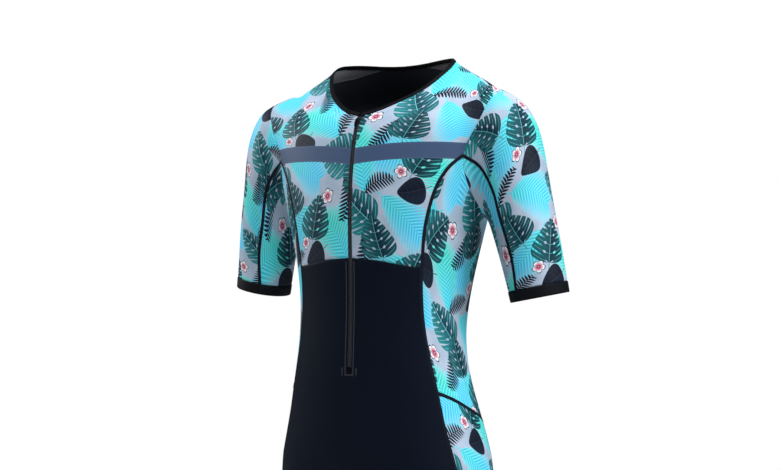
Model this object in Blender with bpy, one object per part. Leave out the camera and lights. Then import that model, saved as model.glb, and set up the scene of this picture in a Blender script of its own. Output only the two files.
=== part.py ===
"""A short-sleeved triathlon suit of stretch knit, filled out as worn, with no wearer.

Metres, +Z up. The front faces -Y and the wearer's left is +X. The origin lies inside
the neck, level with the tops of the shoulders at the neck, where a wearer holds it up.

The cloth lies on a general figure: a trunk, two arms and two legs, each a stack of
rounded sections, blended into one skin. Seams are drawn on that skin, and each panel
is a wall of even thickness between its seams.
"""
import math
from collections import namedtuple
from functools import lru_cache

import bmesh
import bpy
import numpy as np

# Cloth
PANEL_WALL = 0.0012
BAND_WALL = 0.0019
BAND_PROUD = 0.0003
SEAM_GAP = 0.0003
COLLAR_WIDTH = 0.0070
COLLAR_THICK = 0.0024
COLLAR_FOLD = 0.0006
CUFF_WIDTH = 0.018
HEM_WIDTH = 0.030

# Front zip
SLOT_HALF = 0.0032
CHAIN_HALF = 0.0028
CHAIN_THICK = 0.0018
CHAIN_SINK = 0.0003
TAPE_WIDTH = 0.011
TAPE_THICK = 0.0010
SLOT_FOOT_HEIGHT = -0.495
ZIP_END_HEIGHT = -0.500
STOP_LENGTH = 0.0045
STOP_HALF = 0.0022
STOP_THICK = 0.0018

# Zip slider and its pull tab, in the slider's own axes: across, up the zip, outwards
SLIDER_HEIGHT = -0.0980
SLIDER_HALF_WIDTH = 0.0042
SLIDER_HALF_LENGTH = 0.0048
SLIDER_THICK = 0.0020
SLIDER_LIFT = 0.0003
ARCH_HALF_WIDTH = 0.0008
ARCH_REACH = 0.0033
ARCH_THICK = 0.0009
ARCH_CLEAR = 0.0026
ARCH_SINK = 0.0004
PULL_PIVOT = 0.0014
PULL_BAR_HALF = 0.0006
PULL_HALF_WIDTH = 0.0031
PULL_EYE_HALF = 0.0017
PULL_EYE_END = 0.0048
PULL_EYE_RIM = 0.0010
PULL_LENGTH = 0.0140
PULL_LEAN = math.radians(6)
PULL_TIP_HALF = 0.0022

# How far two shapes melt into each other where they meet
BLEND_ARM = 0.026
BLEND_LEG = 0.045
TRUNK_SQUARE = 2.25
LIMB_SQUARE = 2.10
ARM_END_SLOPE = 3.0
TRUNK_END_SLOPE = 3.0
LEG_END_SLOPE = 0.45

# Level sections, from the top down: the two half sizes and where each one lies
Section = namedtuple("Section", "height centre half_width front back")
TRUNK = (
    Section(+0.040, 0.0, 0.088, +0.020, 0.058),
    Section(+0.015, 0.0, 0.100, +0.008, 0.061),
    Section(+0.000, 0.0, 0.116, -0.003, 0.067),
    Section(-0.015, 0.0, 0.138, -0.012, 0.077),
    Section(-0.032, 0.0, 0.167, -0.024, 0.087),
    Section(-0.050, 0.0, 0.189, -0.041, 0.096),
    Section(-0.068, 0.0, 0.198, -0.063, 0.102),
    Section(-0.090, 0.0, 0.202, -0.086, 0.108),
    Section(-0.142, 0.0, 0.197, -0.108, 0.117),
    Section(-0.200, 0.0, 0.184, -0.117, 0.124),
    Section(-0.260, 0.0, 0.169, -0.119, 0.124),
    Section(-0.330, 0.0, 0.152, -0.117, 0.116),
    Section(-0.380, 0.0, 0.144, -0.116, 0.104),
    Section(-0.424, 0.0, 0.141, -0.117, 0.094),
    Section(-0.465, 0.0, 0.143, -0.119, 0.089),
    Section(-0.510, 0.0, 0.150, -0.121, 0.092),
    Section(-0.560, 0.0, 0.160, -0.123, 0.107),
    Section(-0.620, 0.0, 0.171, -0.125, 0.122),
    Section(-0.670, 0.0, 0.175, -0.119, 0.121),
    Section(-0.720, 0.0, 0.167, -0.104, 0.108),
    Section(-0.755, 0.0, 0.148, -0.084, 0.089),
    Section(-0.780, 0.0, 0.105, -0.052, 0.058),
    Section(-0.795, 0.0, 0.050, -0.018, 0.024),
)
ARM = (
    Section(-0.045, 0.186, 0.006, -0.004, 0.010),
    Section(-0.053, 0.190, 0.021, -0.018, 0.024),
    Section(-0.065, 0.196, 0.036, -0.034, 0.040),
    Section(-0.085, 0.201, 0.049, -0.046, 0.054),
    Section(-0.110, 0.205, 0.057, -0.052, 0.063),
    Section(-0.150, 0.212, 0.060, -0.053, 0.068),
    Section(-0.200, 0.223, 0.057, -0.047, 0.069),
    Section(-0.260, 0.238, 0.053, -0.038, 0.067),
    Section(-0.330, 0.253, 0.049, -0.027, 0.069),
    Section(-0.400, 0.266, 0.046, -0.019, 0.072),
)
LEG = (
    Section(-0.640, 0.086, 0.070, -0.088, 0.090),
    Section(-0.720, 0.090, 0.084, -0.099, 0.103),
    Section(-0.800, 0.097, 0.088, -0.097, 0.104),
    Section(-0.900, 0.105, 0.083, -0.084, 0.093),
    Section(-1.050, 0.113, 0.073, -0.066, 0.080),
)

# Corners where seams meet, on the wearer's left half
Mark = namedtuple("Mark", "x y z")
MARKS = {
    "neck_front": Mark(SLOT_HALF, -0.087, -0.090),
    "neck_shoulder": Mark(0.045, 0.064, 0.002),
    "neck_back": Mark(0.0, 0.067, 0.000),
    "shoulder_tip": Mark(0.208, 0.003, -0.053),
    "front_joint": Mark(0.170, -0.061, -0.157),
    "armpit": Mark(0.177, 0.008, -0.250),
    "back_joint": Mark(0.172, 0.068, -0.157),
    "blade_centre": Mark(0.0, 0.119, -0.157),
    "yoke_centre": Mark(SLOT_HALF, -0.116, -0.316),
    "yoke_side": Mark(0.110, -0.085, -0.331),
    "slot_foot": Mark(SLOT_HALF, -0.121, SLOT_FOOT_HEIGHT),
    "zip_end": Mark(0.0, -0.121, ZIP_END_HEIGHT),
    "hip_seam_front": Mark(0.132, -0.075, -0.525),
    "hip_seam_back": Mark(0.162, 0.046, -0.580),
    "front_rise": Mark(0.0, -0.115, -0.700),
    "front_thigh": Mark(0.168, -0.058, -0.715),
    "seat_centre": Mark(0.0, 0.118, -0.700),
    "back_thigh": Mark(0.172, 0.056, -0.715),
    "crotch": Mark(0.0, 0.003, -0.800),
    "front_leg": Mark(0.172, -0.045, -0.830),
    "back_leg": Mark(0.172, 0.055, -0.830),
}

# Seams and inner guide lines: start, end, steps, and the points between them. With a
# bunch above 1 the steps start short and grow.
Line = namedtuple("Line", "start end steps through bunch", defaults=[1.0])
LINES = {
    "centre_top": Line("neck_front", "yoke_centre", 7, [
        Mark(SLOT_HALF, -0.110, -0.150), Mark(SLOT_HALF, -0.119, -0.240)], 1.5),
    "centre_zip": Line("yoke_centre", "slot_foot", 6, [Mark(SLOT_HALF, -0.117, -0.410)]),
    "slot_close": Line("slot_foot", "zip_end", 1, []),
    "centre_low": Line("zip_end", "front_rise", 6, [Mark(0.0, -0.124, -0.600)]),
    "front_curve": Line("front_rise", "crotch", 4, [
        Mark(0.0, -0.085, -0.755), Mark(0.0, -0.040, -0.790)]),
    "neck_edge": Line("neck_front", "neck_shoulder", 7, [
        Mark(0.033, -0.077, -0.081), Mark(0.062, -0.058, -0.064), Mark(0.087, -0.033, -0.046),
        Mark(0.104, -0.008, -0.027), Mark(0.113, 0.018, -0.008), Mark(0.100, 0.044, 0.002),
        Mark(0.074, 0.057, 0.004)]),
    "neck_behind": Line("neck_shoulder", "neck_back", 2, [Mark(0.022, 0.067, 0.001)]),
    "shoulder": Line("neck_shoulder", "shoulder_tip", 6, [
        Mark(0.095, 0.058, -0.012), Mark(0.150, 0.036, -0.030), Mark(0.185, 0.016, -0.044)]),
    "arm_front": Line("front_joint", "shoulder_tip", 7, [
        Mark(0.174, -0.059, -0.140), Mark(0.190, -0.053, -0.108), Mark(0.203, -0.040, -0.074),
        Mark(0.209, -0.022, -0.058)]),
    "arm_back": Line("shoulder_tip", "back_joint", 5, [
        Mark(0.208, 0.030, -0.062), Mark(0.200, 0.052, -0.085), Mark(0.184, 0.065, -0.120)]),
    "under_front": Line("front_joint", "armpit", 4, [
        Mark(0.169, -0.057, -0.178), Mark(0.173, -0.044, -0.207), Mark(0.178, -0.022, -0.234)]),
    "under_back": Line("armpit", "back_joint", 4, [
        Mark(0.178, 0.034, -0.238), Mark(0.177, 0.052, -0.210), Mark(0.174, 0.064, -0.182)]),
    "chest": Line("neck_front", "front_joint", 6, [
        Mark(0.060, -0.099, -0.120), Mark(0.120, -0.088, -0.145)]),
    "blade": Line("blade_centre", "back_joint", 8, [
        Mark(0.060, 0.117, -0.157), Mark(0.120, 0.103, -0.157)]),
    "centre_nape": Line("neck_back", "blade_centre", 5, [
        Mark(0.0, 0.093, -0.045), Mark(0.0, 0.110, -0.100)]),
    "princess_bust": Line("front_joint", "yoke_side", 7, [
        Mark(0.153, -0.074, -0.174), Mark(0.136, -0.084, -0.204), Mark(0.120, -0.090, -0.262)]),
    "princess_waist": Line("yoke_side", "hip_seam_front", 7, [
        Mark(0.109, -0.084, -0.370), Mark(0.112, -0.082, -0.420), Mark(0.121, -0.079, -0.475)]),
    "princess_hip": Line("hip_seam_front", "front_thigh", 6, [
        Mark(0.144, -0.072, -0.580), Mark(0.158, -0.065, -0.642)]),
    "princess_thigh": Line("front_thigh", "front_leg", 4, [Mark(0.172, -0.050, -0.770)]),
    "side_body": Line("back_joint", "hip_seam_back", 14, [
        Mark(0.160, 0.077, -0.190), Mark(0.152, 0.077, -0.240), Mark(0.143, 0.072, -0.300),
        Mark(0.131, 0.064, -0.370), Mark(0.127, 0.055, -0.430), Mark(0.140, 0.050, -0.510)]),
    "side_hip": Line("hip_seam_back", "back_thigh", 6, [Mark(0.170, 0.048, -0.640)]),
    "side_thigh": Line("back_thigh", "back_leg", 4, [Mark(0.174, 0.056, -0.770)]),
    "yoke_edge": Line("yoke_centre", "yoke_side", 6, [
        Mark(0.050, -0.111, -0.320), Mark(0.085, -0.100, -0.327)]),
    "hip_front": Line("front_rise", "front_thigh", 6, [
        Mark(0.060, -0.113, -0.703), Mark(0.120, -0.094, -0.709)]),
    "hip_back": Line("seat_centre", "back_thigh", 8, [
        Mark(0.060, 0.115, -0.703), Mark(0.120, 0.096, -0.709)]),
    "centre_back": Line("blade_centre", "seat_centre", 20, [
        Mark(0.0, 0.124, -0.240), Mark(0.0, 0.112, -0.350), Mark(0.0, 0.090, -0.450),
        Mark(0.0, 0.103, -0.550), Mark(0.0, 0.122, -0.620)]),
    "back_curve": Line("seat_centre", "crotch", 4, [
        Mark(0.0, 0.090, -0.755), Mark(0.0, 0.045, -0.790)]),
    "thigh_front": Line("crotch", "front_leg", 6, [
        Mark(0.040, -0.065, -0.815), Mark(0.100, -0.097, -0.822)]),
    "thigh_back": Line("crotch", "back_leg", 8, [
        Mark(0.040, 0.075, -0.815), Mark(0.100, 0.103, -0.822)]),
    "hip_seam": Line("hip_seam_front", "hip_seam_back", 8, [
        Mark(0.147, -0.053, -0.536), Mark(0.158, -0.020, -0.553)]),
}

# The points that the seams down the limbs pass between their two ends
LIMB_LINES = {
    "sleeve_front": [
        Mark(0.192, -0.050, -0.175), Mark(0.209, -0.045, -0.204),
        Mark(0.222, -0.037, -0.257), Mark(0.236, -0.028, -0.315)],
    "sleeve_back": [Mark(0.192, 0.066, -0.178), Mark(0.211, 0.067, -0.215), Mark(0.228, 0.067, -0.275)],
    "inseam": [Mark(0.012, 0.003, -0.840), Mark(0.024, 0.004, -0.910)],
    "front_leg_seam": [Mark(0.172, -0.044, -0.910)],
    "back_leg_seam": [Mark(0.174, 0.056, -0.910)],
}

# Where the sleeve and the leg end: a loop round the limb, square to it
Loop = namedtuple("Loop", "x y z tilt_x tilt_y")
CUFF_LOOP = Loop(0.2565, 0.0215, -0.3610, 0.200, 0.030)
HEM_LOOP = Loop(0.1125, 0.0060, -1.0000, 0.060, 0.000)

# Turns round a loop, in degrees from straight outwards, towards the back
CUFF_SEAM_FRONT = -112.0
CUFF_SEAM_BACK = 110.0
HEM_SEAM_FRONT = -38.0
HEM_SEAM_BACK = 36.0
INSEAM_TURN = 180.0
SLEEVE_STEPS = 8
LEG_STEPS = 6

# A loop's points lie between these two distances from its centre
RAY_START = 0.010
RAY_END = 0.130

# An extra row of points near the armpit, as a share of the first step below it
ARMPIT_ROW = 0.4

# Faces that meet at less than this angle are shaded as one
SMOOTH_ANGLE = math.radians(40)

# Soft troughs pressed into the skin, where the knit gathers by the arms
Crease = namedtuple("Crease", "x y z run_x run_y run_z length width depth")
CREASES = [
    Crease(0.160, -0.078, -0.232, 0.30, -0.20, -1.00, 0.070, 0.010, 0.0016),
    Crease(0.172, -0.050, -0.262, 0.35, -0.55, -1.00, 0.060, 0.009, 0.0018),
    Crease(0.166, 0.078, -0.240, 0.30, 0.25, -1.00, 0.070, 0.010, 0.0016),
    Crease(0.205, -0.042, -0.232, -0.80, 0.10, -1.00, 0.045, 0.008, 0.0014),
]

# Colour, roughness and metallic value of each finish
Finish = namedtuple("Finish", "colour roughness metallic")
FINISHES = {
    "print_knit": Finish((0.16, 0.48, 0.50, 1.0), 0.62, 0.0),
    "black_knit": Finish((0.012, 0.015, 0.024, 1.0), 0.58, 0.0),
    "black_elastic": Finish((0.010, 0.011, 0.015, 1.0), 0.66, 0.0),
    "zip_nylon": Finish((0.016, 0.017, 0.022, 1.0), 0.45, 0.0),
    "zip_metal": Finish((0.020, 0.020, 0.022, 1.0), 0.34, 0.9),
}


# The figure
@lru_cache(maxsize=None)
def spline_table(rows, column):
    """The knots, values and bends of a natural cubic spline through one column of a table."""
    table = sorted(rows, key=lambda row: row.height)
    knots = np.array([row.height for row in table])
    values = np.array([getattr(row, column) for row in table])
    steps = np.diff(knots)
    count = len(knots)
    matrix = np.eye(count)
    right_side = np.zeros(count)
    for i in range(1, count - 1):
        matrix[i, i - 1:i + 2] = steps[i - 1], 2 * (steps[i - 1] + steps[i]), steps[i]
        change = (values[i + 1] - values[i]) / steps[i] - (values[i] - values[i - 1]) / steps[i - 1]
        right_side[i] = 6 * change
    return knots, values, np.linalg.solve(matrix, right_side)


def spline_read(rows, column, heights):
    """Read one column of a section table at any heights, level past its ends."""
    knots, values, bends = spline_table(rows, column)
    heights = np.clip(heights, knots[0], knots[-1])
    low = np.clip(np.searchsorted(knots, heights) - 1, 0, len(knots) - 2)
    step = knots[low + 1] - knots[low]
    below = (knots[low + 1] - heights) / step
    above = (heights - knots[low]) / step
    curve = (below ** 3 - below) * bends[low] + (above ** 3 - above) * bends[low + 1]
    return below * values[low] + above * values[low + 1] + curve * step ** 2 / 6


def tube_distance(points, rows, square):
    """How far points lie outside a stack of level sections, measured along the level."""
    heights = points[..., 2]
    centre = spline_read(rows, "centre", heights)
    half = spline_read(rows, "half_width", heights)
    front = spline_read(rows, "front", heights)
    back = spline_read(rows, "back", heights)
    across = points[..., 0] - centre
    through = points[..., 1] - (front + back) / 2
    reach = np.hypot(across, through) + 1e-9
    ratio = np.abs(across / half) ** square + np.abs(2 * through / (back - front)) ** square
    return reach - reach / ratio ** (1 / square)


def soft_union(first, second, width):
    """The nearer of two distances, melted together over a width."""
    mix = np.clip(0.5 + 0.5 * (second - first) / width, 0, 1)
    return second * (1 - mix) + first * mix - width * mix * (1 - mix)


def crease_depth(points):
    """How deep the soft troughs press in at points on the wearer's left half."""
    depth = np.zeros(points.shape[:-1])
    for crease in CREASES:
        offset = points - np.array([crease.x, crease.y, crease.z])
        run = np.array([crease.run_x, crease.run_y, crease.run_z])
        run = run / np.linalg.norm(run)
        along = offset @ run
        aside = np.linalg.norm(offset - along[..., None] * run, axis=-1)
        depth += crease.depth * np.exp(-(along / crease.length * 2) ** 2 - (aside / crease.width) ** 2)
    return depth


def figure_distance(points):
    """How far points lie outside the figure; the figure's skin is where this is zero."""
    folded = np.array(points, dtype=float)
    folded[..., 0] = np.abs(folded[..., 0])
    heights = folded[..., 2]
    trunk = tube_distance(folded, TRUNK, TRUNK_SQUARE)
    trunk = trunk + TRUNK_END_SLOPE * np.maximum(0, TRUNK[-1].height - heights)
    arm = tube_distance(folded, ARM, LIMB_SQUARE)
    arm = arm + ARM_END_SLOPE * np.maximum(0, heights - ARM[0].height)
    leg = tube_distance(folded, LEG, LIMB_SQUARE)
    leg = leg + LEG_END_SLOPE * np.maximum(0, heights - LEG[0].height)
    body = soft_union(trunk, arm, BLEND_ARM)
    return soft_union(body, leg, BLEND_LEG) + crease_depth(folded)


def figure_slope(points, step=0.0004):
    """The direction in which the distance from the figure grows, and how fast."""
    slope = np.zeros(points.shape)
    for axis in range(3):
        shift = np.zeros(3)
        shift[axis] = step
        rise = figure_distance(points + shift) - figure_distance(points - shift)
        slope[..., axis] = rise / (2 * step)
    return slope


def onto_figure(points, rounds=14):
    """Move points onto the figure's skin, straight towards it."""
    points = np.array(points, dtype=float)
    for _ in range(rounds):
        slope = figure_slope(points)
        steep = np.maximum((slope ** 2).sum(axis=-1), 0.05)
        shift = figure_distance(points) / steep
        shift = np.clip(shift, -0.02, 0.02)
        points = points - shift[..., None] * slope
    return points


def outwards(points):
    """The skin's outward direction at points on it."""
    slope = figure_slope(points)
    return slope / np.linalg.norm(slope, axis=-1, keepdims=True)


# Seam lines on the figure
def even_steps(path, steps, bunch=1.0):
    """Points at even distances along a path, or at distances that grow along it."""
    lengths = np.concatenate([[0], np.cumsum(np.linalg.norm(np.diff(path, axis=0), axis=1))])
    stations = lengths[-1] * np.linspace(0, 1, steps + 1) ** bunch
    return np.stack([np.interp(stations, lengths, path[:, axis]) for axis in range(3)], axis=1)


def curve_through(controls, fineness=12):
    """A smooth curve through control points, spaced by the root of their distance."""
    controls = np.array(controls, dtype=float)
    gaps = np.sqrt(np.linalg.norm(np.diff(controls, axis=0), axis=1))
    knots = np.concatenate([[0], np.cumsum(gaps)])
    slopes = np.gradient(controls, knots, axis=0)
    pieces = []
    for i in range(len(controls) - 1):
        t = np.linspace(0, 1, fineness, endpoint=False)[:, None]
        gap = knots[i + 1] - knots[i]
        pieces.append((1 + 2 * t) * (1 - t) ** 2 * controls[i] + t * (1 - t) ** 2 * gap * slopes[i]
                      + t * t * (3 - 2 * t) * controls[i + 1] + t * t * (t - 1) * gap * slopes[i + 1])
    pieces.append(controls[-1:])
    return np.concatenate(pieces)


def seam_line(name):
    """The points of one seam, at even steps on the figure, the same for both its panels."""
    line = LINES[name]
    controls = [MARKS[line.start], *line.through, MARKS[line.end]]
    path = onto_figure(curve_through(onto_figure(controls)))
    return onto_figure(even_steps(path, line.steps, line.bunch))


def loop_frame(loop):
    """A loop's centre and its outward, backward and upward directions."""
    upward = np.array([-loop.tilt_x, -loop.tilt_y, 1.0])
    upward = upward / np.linalg.norm(upward)
    outward = np.array([1.0, 0.0, 0.0])
    outward = outward - (outward @ upward) * upward
    outward = outward / np.linalg.norm(outward)
    backward = np.cross(upward, outward)
    return np.array([loop.x, loop.y, loop.z]), outward, backward, upward


def loop_arc(loop, first_turn, last_turn, steps, drop=0.0):
    """Points of a limb's edge loop between two turns, found along rays in its plane."""
    centre, outward, backward, upward = loop_frame(loop)
    turns = np.radians(np.linspace(first_turn, last_turn, steps + 1))
    rays = np.cos(turns)[:, None] * outward + np.sin(turns)[:, None] * backward
    start = centre - drop * upward
    near = np.full(len(turns), RAY_START)
    far = np.full(len(turns), RAY_END)
    for _ in range(40):
        middle = (near + far) / 2
        inside = figure_distance(start + middle[:, None] * rays) < 0
        near = np.where(inside, middle, near)
        far = np.where(inside, far, middle)
    return start + near[:, None] * rays


def limb_line(name, start, end, steps):
    """A seam down a limb, from a mark to a point of its edge loop."""
    path = onto_figure(curve_through(onto_figure([start, *LIMB_LINES[name], end])))
    path[0] = start
    path[-1] = end
    points = onto_figure(even_steps(path, steps))
    points[0] = start
    points[-1] = end
    return points


def all_lines():
    """Every seam and guide line of the wearer's left half."""
    lines = {name: seam_line(name) for name in LINES}
    arm_steps = LINES["arm_front"].steps + LINES["arm_back"].steps
    under_steps = LINES["under_front"].steps + LINES["under_back"].steps
    front_steps = LINES["thigh_front"].steps
    back_steps = LINES["thigh_back"].steps
    side_steps = LINES["hip_seam"].steps
    lines["cuff_outer"] = loop_arc(CUFF_LOOP, CUFF_SEAM_FRONT, CUFF_SEAM_BACK, arm_steps)
    lines["cuff_inner"] = loop_arc(CUFF_LOOP, CUFF_SEAM_FRONT, CUFF_SEAM_BACK - 360, under_steps)
    lines["hem_front"] = loop_arc(HEM_LOOP, -INSEAM_TURN, HEM_SEAM_FRONT, front_steps)
    lines["hem_side"] = loop_arc(HEM_LOOP, HEM_SEAM_FRONT, HEM_SEAM_BACK, side_steps)
    lines["hem_back"] = loop_arc(HEM_LOOP, INSEAM_TURN, HEM_SEAM_BACK, back_steps)
    for name, start, end, steps in [
            ("sleeve_front", lines["under_front"][0], lines["cuff_outer"][0], SLEEVE_STEPS),
            ("sleeve_back", lines["under_back"][-1], lines["cuff_outer"][-1], SLEEVE_STEPS),
            ("inseam", lines["front_curve"][-1], lines["hem_front"][0], LEG_STEPS),
            ("front_leg_seam", lines["princess_thigh"][-1], lines["hem_side"][0], LEG_STEPS),
            ("back_leg_seam", lines["side_thigh"][-1], lines["hem_side"][-1], LEG_STEPS)]:
        lines[name] = limb_line(name, start, end, steps)
    return lines


def joined(lines, *names):
    """Several lines end to end; a name that starts with a minus sign is run backwards."""
    points = []
    for name in names:
        line = lines[name[1:]][::-1] if name.startswith("-") else lines[name]
        points.extend(line if not points else line[1:])
    return np.array(points)


def patch(top, bottom, left, right, near_top=0.0):
    """A grid of points between four lines; top and bottom run left to right, the sides down.

    With near_top, one more row lies that share of a step below the top, and its ends
    stay on the straight edges of the first step.
    """
    across = np.linspace(0, 1, len(top))[None, :, None]
    down = np.linspace(0, 1, len(left))
    if near_top:
        down = np.insert(down, 1, near_top * down[1])
        left = np.insert(left, 1, left[0] + near_top * (left[1] - left[0]), axis=0)
        right = np.insert(right, 1, right[0] + near_top * (right[1] - right[0]), axis=0)
    down = down[:, None, None]
    ruled = (1 - down) * top[None] + down * bottom[None]
    ruled = ruled + (1 - across) * left[:, None] + across * right[:, None]
    corners = (1 - down) * ((1 - across) * top[0] + across * top[-1])
    corners = corners + down * ((1 - across) * bottom[0] + across * bottom[-1])
    grid = ruled - corners
    grid[1:-1, 1:-1] = onto_figure(grid[1:-1, 1:-1])
    grid[0], grid[-1], grid[:, 0], grid[:, -1] = top, bottom, left, right
    return grid


def yoke_patches(lines):
    """The printed upper front: a part above the chest line and a part below it."""
    upper = patch(lines["shoulder"], lines["chest"], lines["neck_edge"][::-1],
                  lines["arm_front"][::-1])
    lower = patch(lines["chest"], lines["yoke_edge"], lines["centre_top"], lines["princess_bust"])
    return [upper, lower]


def front_patches(lines):
    """The black lower front: the body, the fork between the legs, and the leg."""
    body = patch(lines["yoke_edge"], lines["hip_front"],
                 joined(lines, "centre_zip", "slot_close", "centre_low"),
                 joined(lines, "princess_waist", "princess_hip"))
    crotch = patch(lines["hip_front"], lines["thigh_front"], lines["front_curve"], lines["princess_thigh"])
    leg = patch(lines["thigh_front"], lines["hem_front"], lines["inseam"], lines["front_leg_seam"])
    return [body, crotch, leg]


def back_patches(lines):
    """The back: above the shoulder blades, the body, the fork between the legs, and the leg."""
    nape = patch(joined(lines, "-neck_behind", "shoulder"), lines["blade"], lines["centre_nape"],
                 lines["arm_back"])
    body = patch(lines["blade"], lines["hip_back"], lines["centre_back"],
                 joined(lines, "side_body", "side_hip"))
    crotch = patch(lines["hip_back"], lines["thigh_back"], lines["back_curve"], lines["side_thigh"])
    leg = patch(lines["thigh_back"], lines["hem_back"], lines["inseam"], lines["back_leg_seam"])
    return [nape, body, crotch, leg]


def side_patches(lines):
    """The side, from the armpit to the slanting hip seam."""
    return [patch(joined(lines, "under_front", "under_back"), lines["hip_seam"],
                  joined(lines, "princess_bust", "princess_waist"), lines["side_body"],
                  near_top=ARMPIT_ROW)]


def leg_side_patches(lines):
    """The side of the leg, from the hip seam to the hem."""
    return [patch(lines["hip_seam"], lines["hem_side"],
                  joined(lines, "princess_hip", "princess_thigh", "front_leg_seam"),
                  joined(lines, "side_hip", "side_thigh", "back_leg_seam"))]


def sleeve_patches(lines):
    """The outer sleeve."""
    return [patch(joined(lines, "arm_front", "arm_back"), lines["cuff_outer"],
                  lines["sleeve_front"], lines["sleeve_back"])]


def underarm_patches(lines):
    """The under side of the sleeve."""
    return [patch(joined(lines, "under_front", "under_back"), lines["cuff_inner"],
                  lines["sleeve_front"], lines["sleeve_back"], near_top=ARMPIT_ROW)]


# Walls
def weld(grids):
    """Join grids into one list of points and quads, shared where points coincide."""
    places = {}
    points = []
    quads = []
    for grid in grids:
        index = np.zeros(grid.shape[:2], dtype=int)
        for row in range(grid.shape[0]):
            for column in range(grid.shape[1]):
                key = tuple(np.round(grid[row, column], 6))
                if key not in places:
                    places[key] = len(points)
                    points.append(grid[row, column])
                index[row, column] = places[key]
        for row in range(grid.shape[0] - 1):
            for column in range(grid.shape[1] - 1):
                quads.append((index[row, column], index[row + 1, column],
                              index[row + 1, column + 1], index[row, column + 1]))
    return np.array(points), quads


def split_quads(points, quads):
    """Cut each quad along its shorter diagonal; a quad with a doubled corner gives one triangle."""
    triangles = []
    for a, b, c, d in quads:
        if np.linalg.norm(points[a] - points[c]) <= np.linalg.norm(points[b] - points[d]):
            pair = [(a, b, c), (a, c, d)]
        else:
            pair = [(a, b, d), (b, c, d)]
        triangles.extend(face for face in pair if len(set(face)) == 3)
    return triangles


def face_out(points, triangles):
    """Turn all triangles over if they face into the figure."""
    normals = outwards(points)
    score = 0.0
    for a, b, c in triangles:
        score += np.cross(points[b] - points[a], points[c] - points[a]) @ normals[a]
    return triangles if score > 0 else [(a, c, b) for a, b, c in triangles]


def free_edges(triangles):
    """The edges that belong to one triangle only, in its direction."""
    edges = {}
    for a, b, c in triangles:
        for edge in ((a, b), (b, c), (c, a)):
            edges[edge] = True
    return [edge for edge in edges if (edge[1], edge[0]) not in edges]


def inset_edges(points, triangles, normals, gap):
    """Draw a panel's edge back within the skin, so that it stands clear at its seams."""
    moved = points.copy()
    sides = {}
    for a, b in free_edges(triangles):
        along = points[b] - points[a]
        for end in (a, b):
            inward = np.cross(normals[end], along)
            sides.setdefault(end, []).append(inward / np.linalg.norm(inward))
    for end, inwards in sides.items():
        total = sum(inwards)
        meeting = 1 + inwards[0] @ inwards[-1]
        moved[end] = points[end] + gap * total / (len(inwards) / 2) / max(meeting, 0.03)
    return moved


def comes_first(first, second):
    """A fixed order of two points, the same for all panels and on both sides of the middle."""
    places = [(round(abs(x), 6), round(y, 6), round(z, 6)) for x, y, z in (first, second)]
    return places[0] < places[1]


def wall(grids, outer=0.0, thick=PANEL_WALL, gap=SEAM_GAP / 2):
    """A closed wall on the figure's skin: its points and triangles."""
    points, quads = weld(grids)
    triangles = face_out(points, split_quads(points, quads))
    normals = outwards(points)
    edge = free_edges(triangles)
    placed = inset_edges(points, triangles, normals, gap)
    shell = np.concatenate([placed + outer * normals, placed + (outer - thick) * normals])
    under = len(points)
    faces = list(triangles)
    faces += [(a + under, c + under, b + under) for a, b, c in triangles]
    for a, b in edge:
        if comes_first(points[a], points[b]):
            faces += [(b, a, b + under), (a, a + under, b + under)]
        else:
            faces += [(b, a, a + under), (b, a + under, b + under)]
    return shell, faces


# Blender objects
def material(name):
    """The material of one finish, made once."""
    finish = FINISHES[name]
    made = bpy.data.materials.get(name) or bpy.data.materials.new(name)
    made.use_nodes = True
    made.diffuse_color = finish.colour
    shader = made.node_tree.nodes["Principled BSDF"]
    shader.inputs["Base Color"].default_value = finish.colour
    shader.inputs["Roughness"].default_value = finish.roughness
    shader.inputs["Metallic"].default_value = finish.metallic
    return made


def add_object(name, points, faces, finish, smooth=True):
    """One node's object from its points and faces."""
    mesh = bpy.data.meshes.new(name)
    mesh.from_pydata(np.asarray(points, dtype=float).tolist(), [],
                     [[int(corner) for corner in face] for face in faces])
    mesh.update()
    mesh.materials.append(material(finish))
    if smooth:
        mesh.shade_smooth()
        mesh.set_sharp_from_angle(angle=SMOOTH_ANGLE)
    made = bpy.data.objects.new(name, mesh)
    bpy.context.scene.collection.objects.link(made)
    return made


def mirrored(points):
    """Points on the wearer's other side."""
    return points * np.array([-1.0, 1.0, 1.0])


def add_pair(name, grids, finish, **sizes):
    """A panel for the wearer's left side and its mirror image for the right."""
    points, faces = wall(grids, **sizes)
    add_object(name + "_left", points, faces, finish)
    add_object(name + "_right", mirrored(points), [face[::-1] for face in faces], finish)


def add_whole(name, grids, finish):
    """A panel that crosses the middle: the left half and its mirror image, welded."""
    points, faces = wall(grids + [mirrored(grid)[:, ::-1] for grid in grids])
    add_object(name, points, faces, finish)


def band_grids(loop, arcs, width, rows=1):
    """The grids of a band below a limb's edge loop: arcs of first turn, last turn and steps."""
    grids = []
    for first_turn, last_turn, steps in arcs:
        drops = np.linspace(0, width, rows + 1)
        grids.append(np.array([loop_arc(loop, first_turn, last_turn, steps, drop) for drop in drops]))
    return grids


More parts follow.
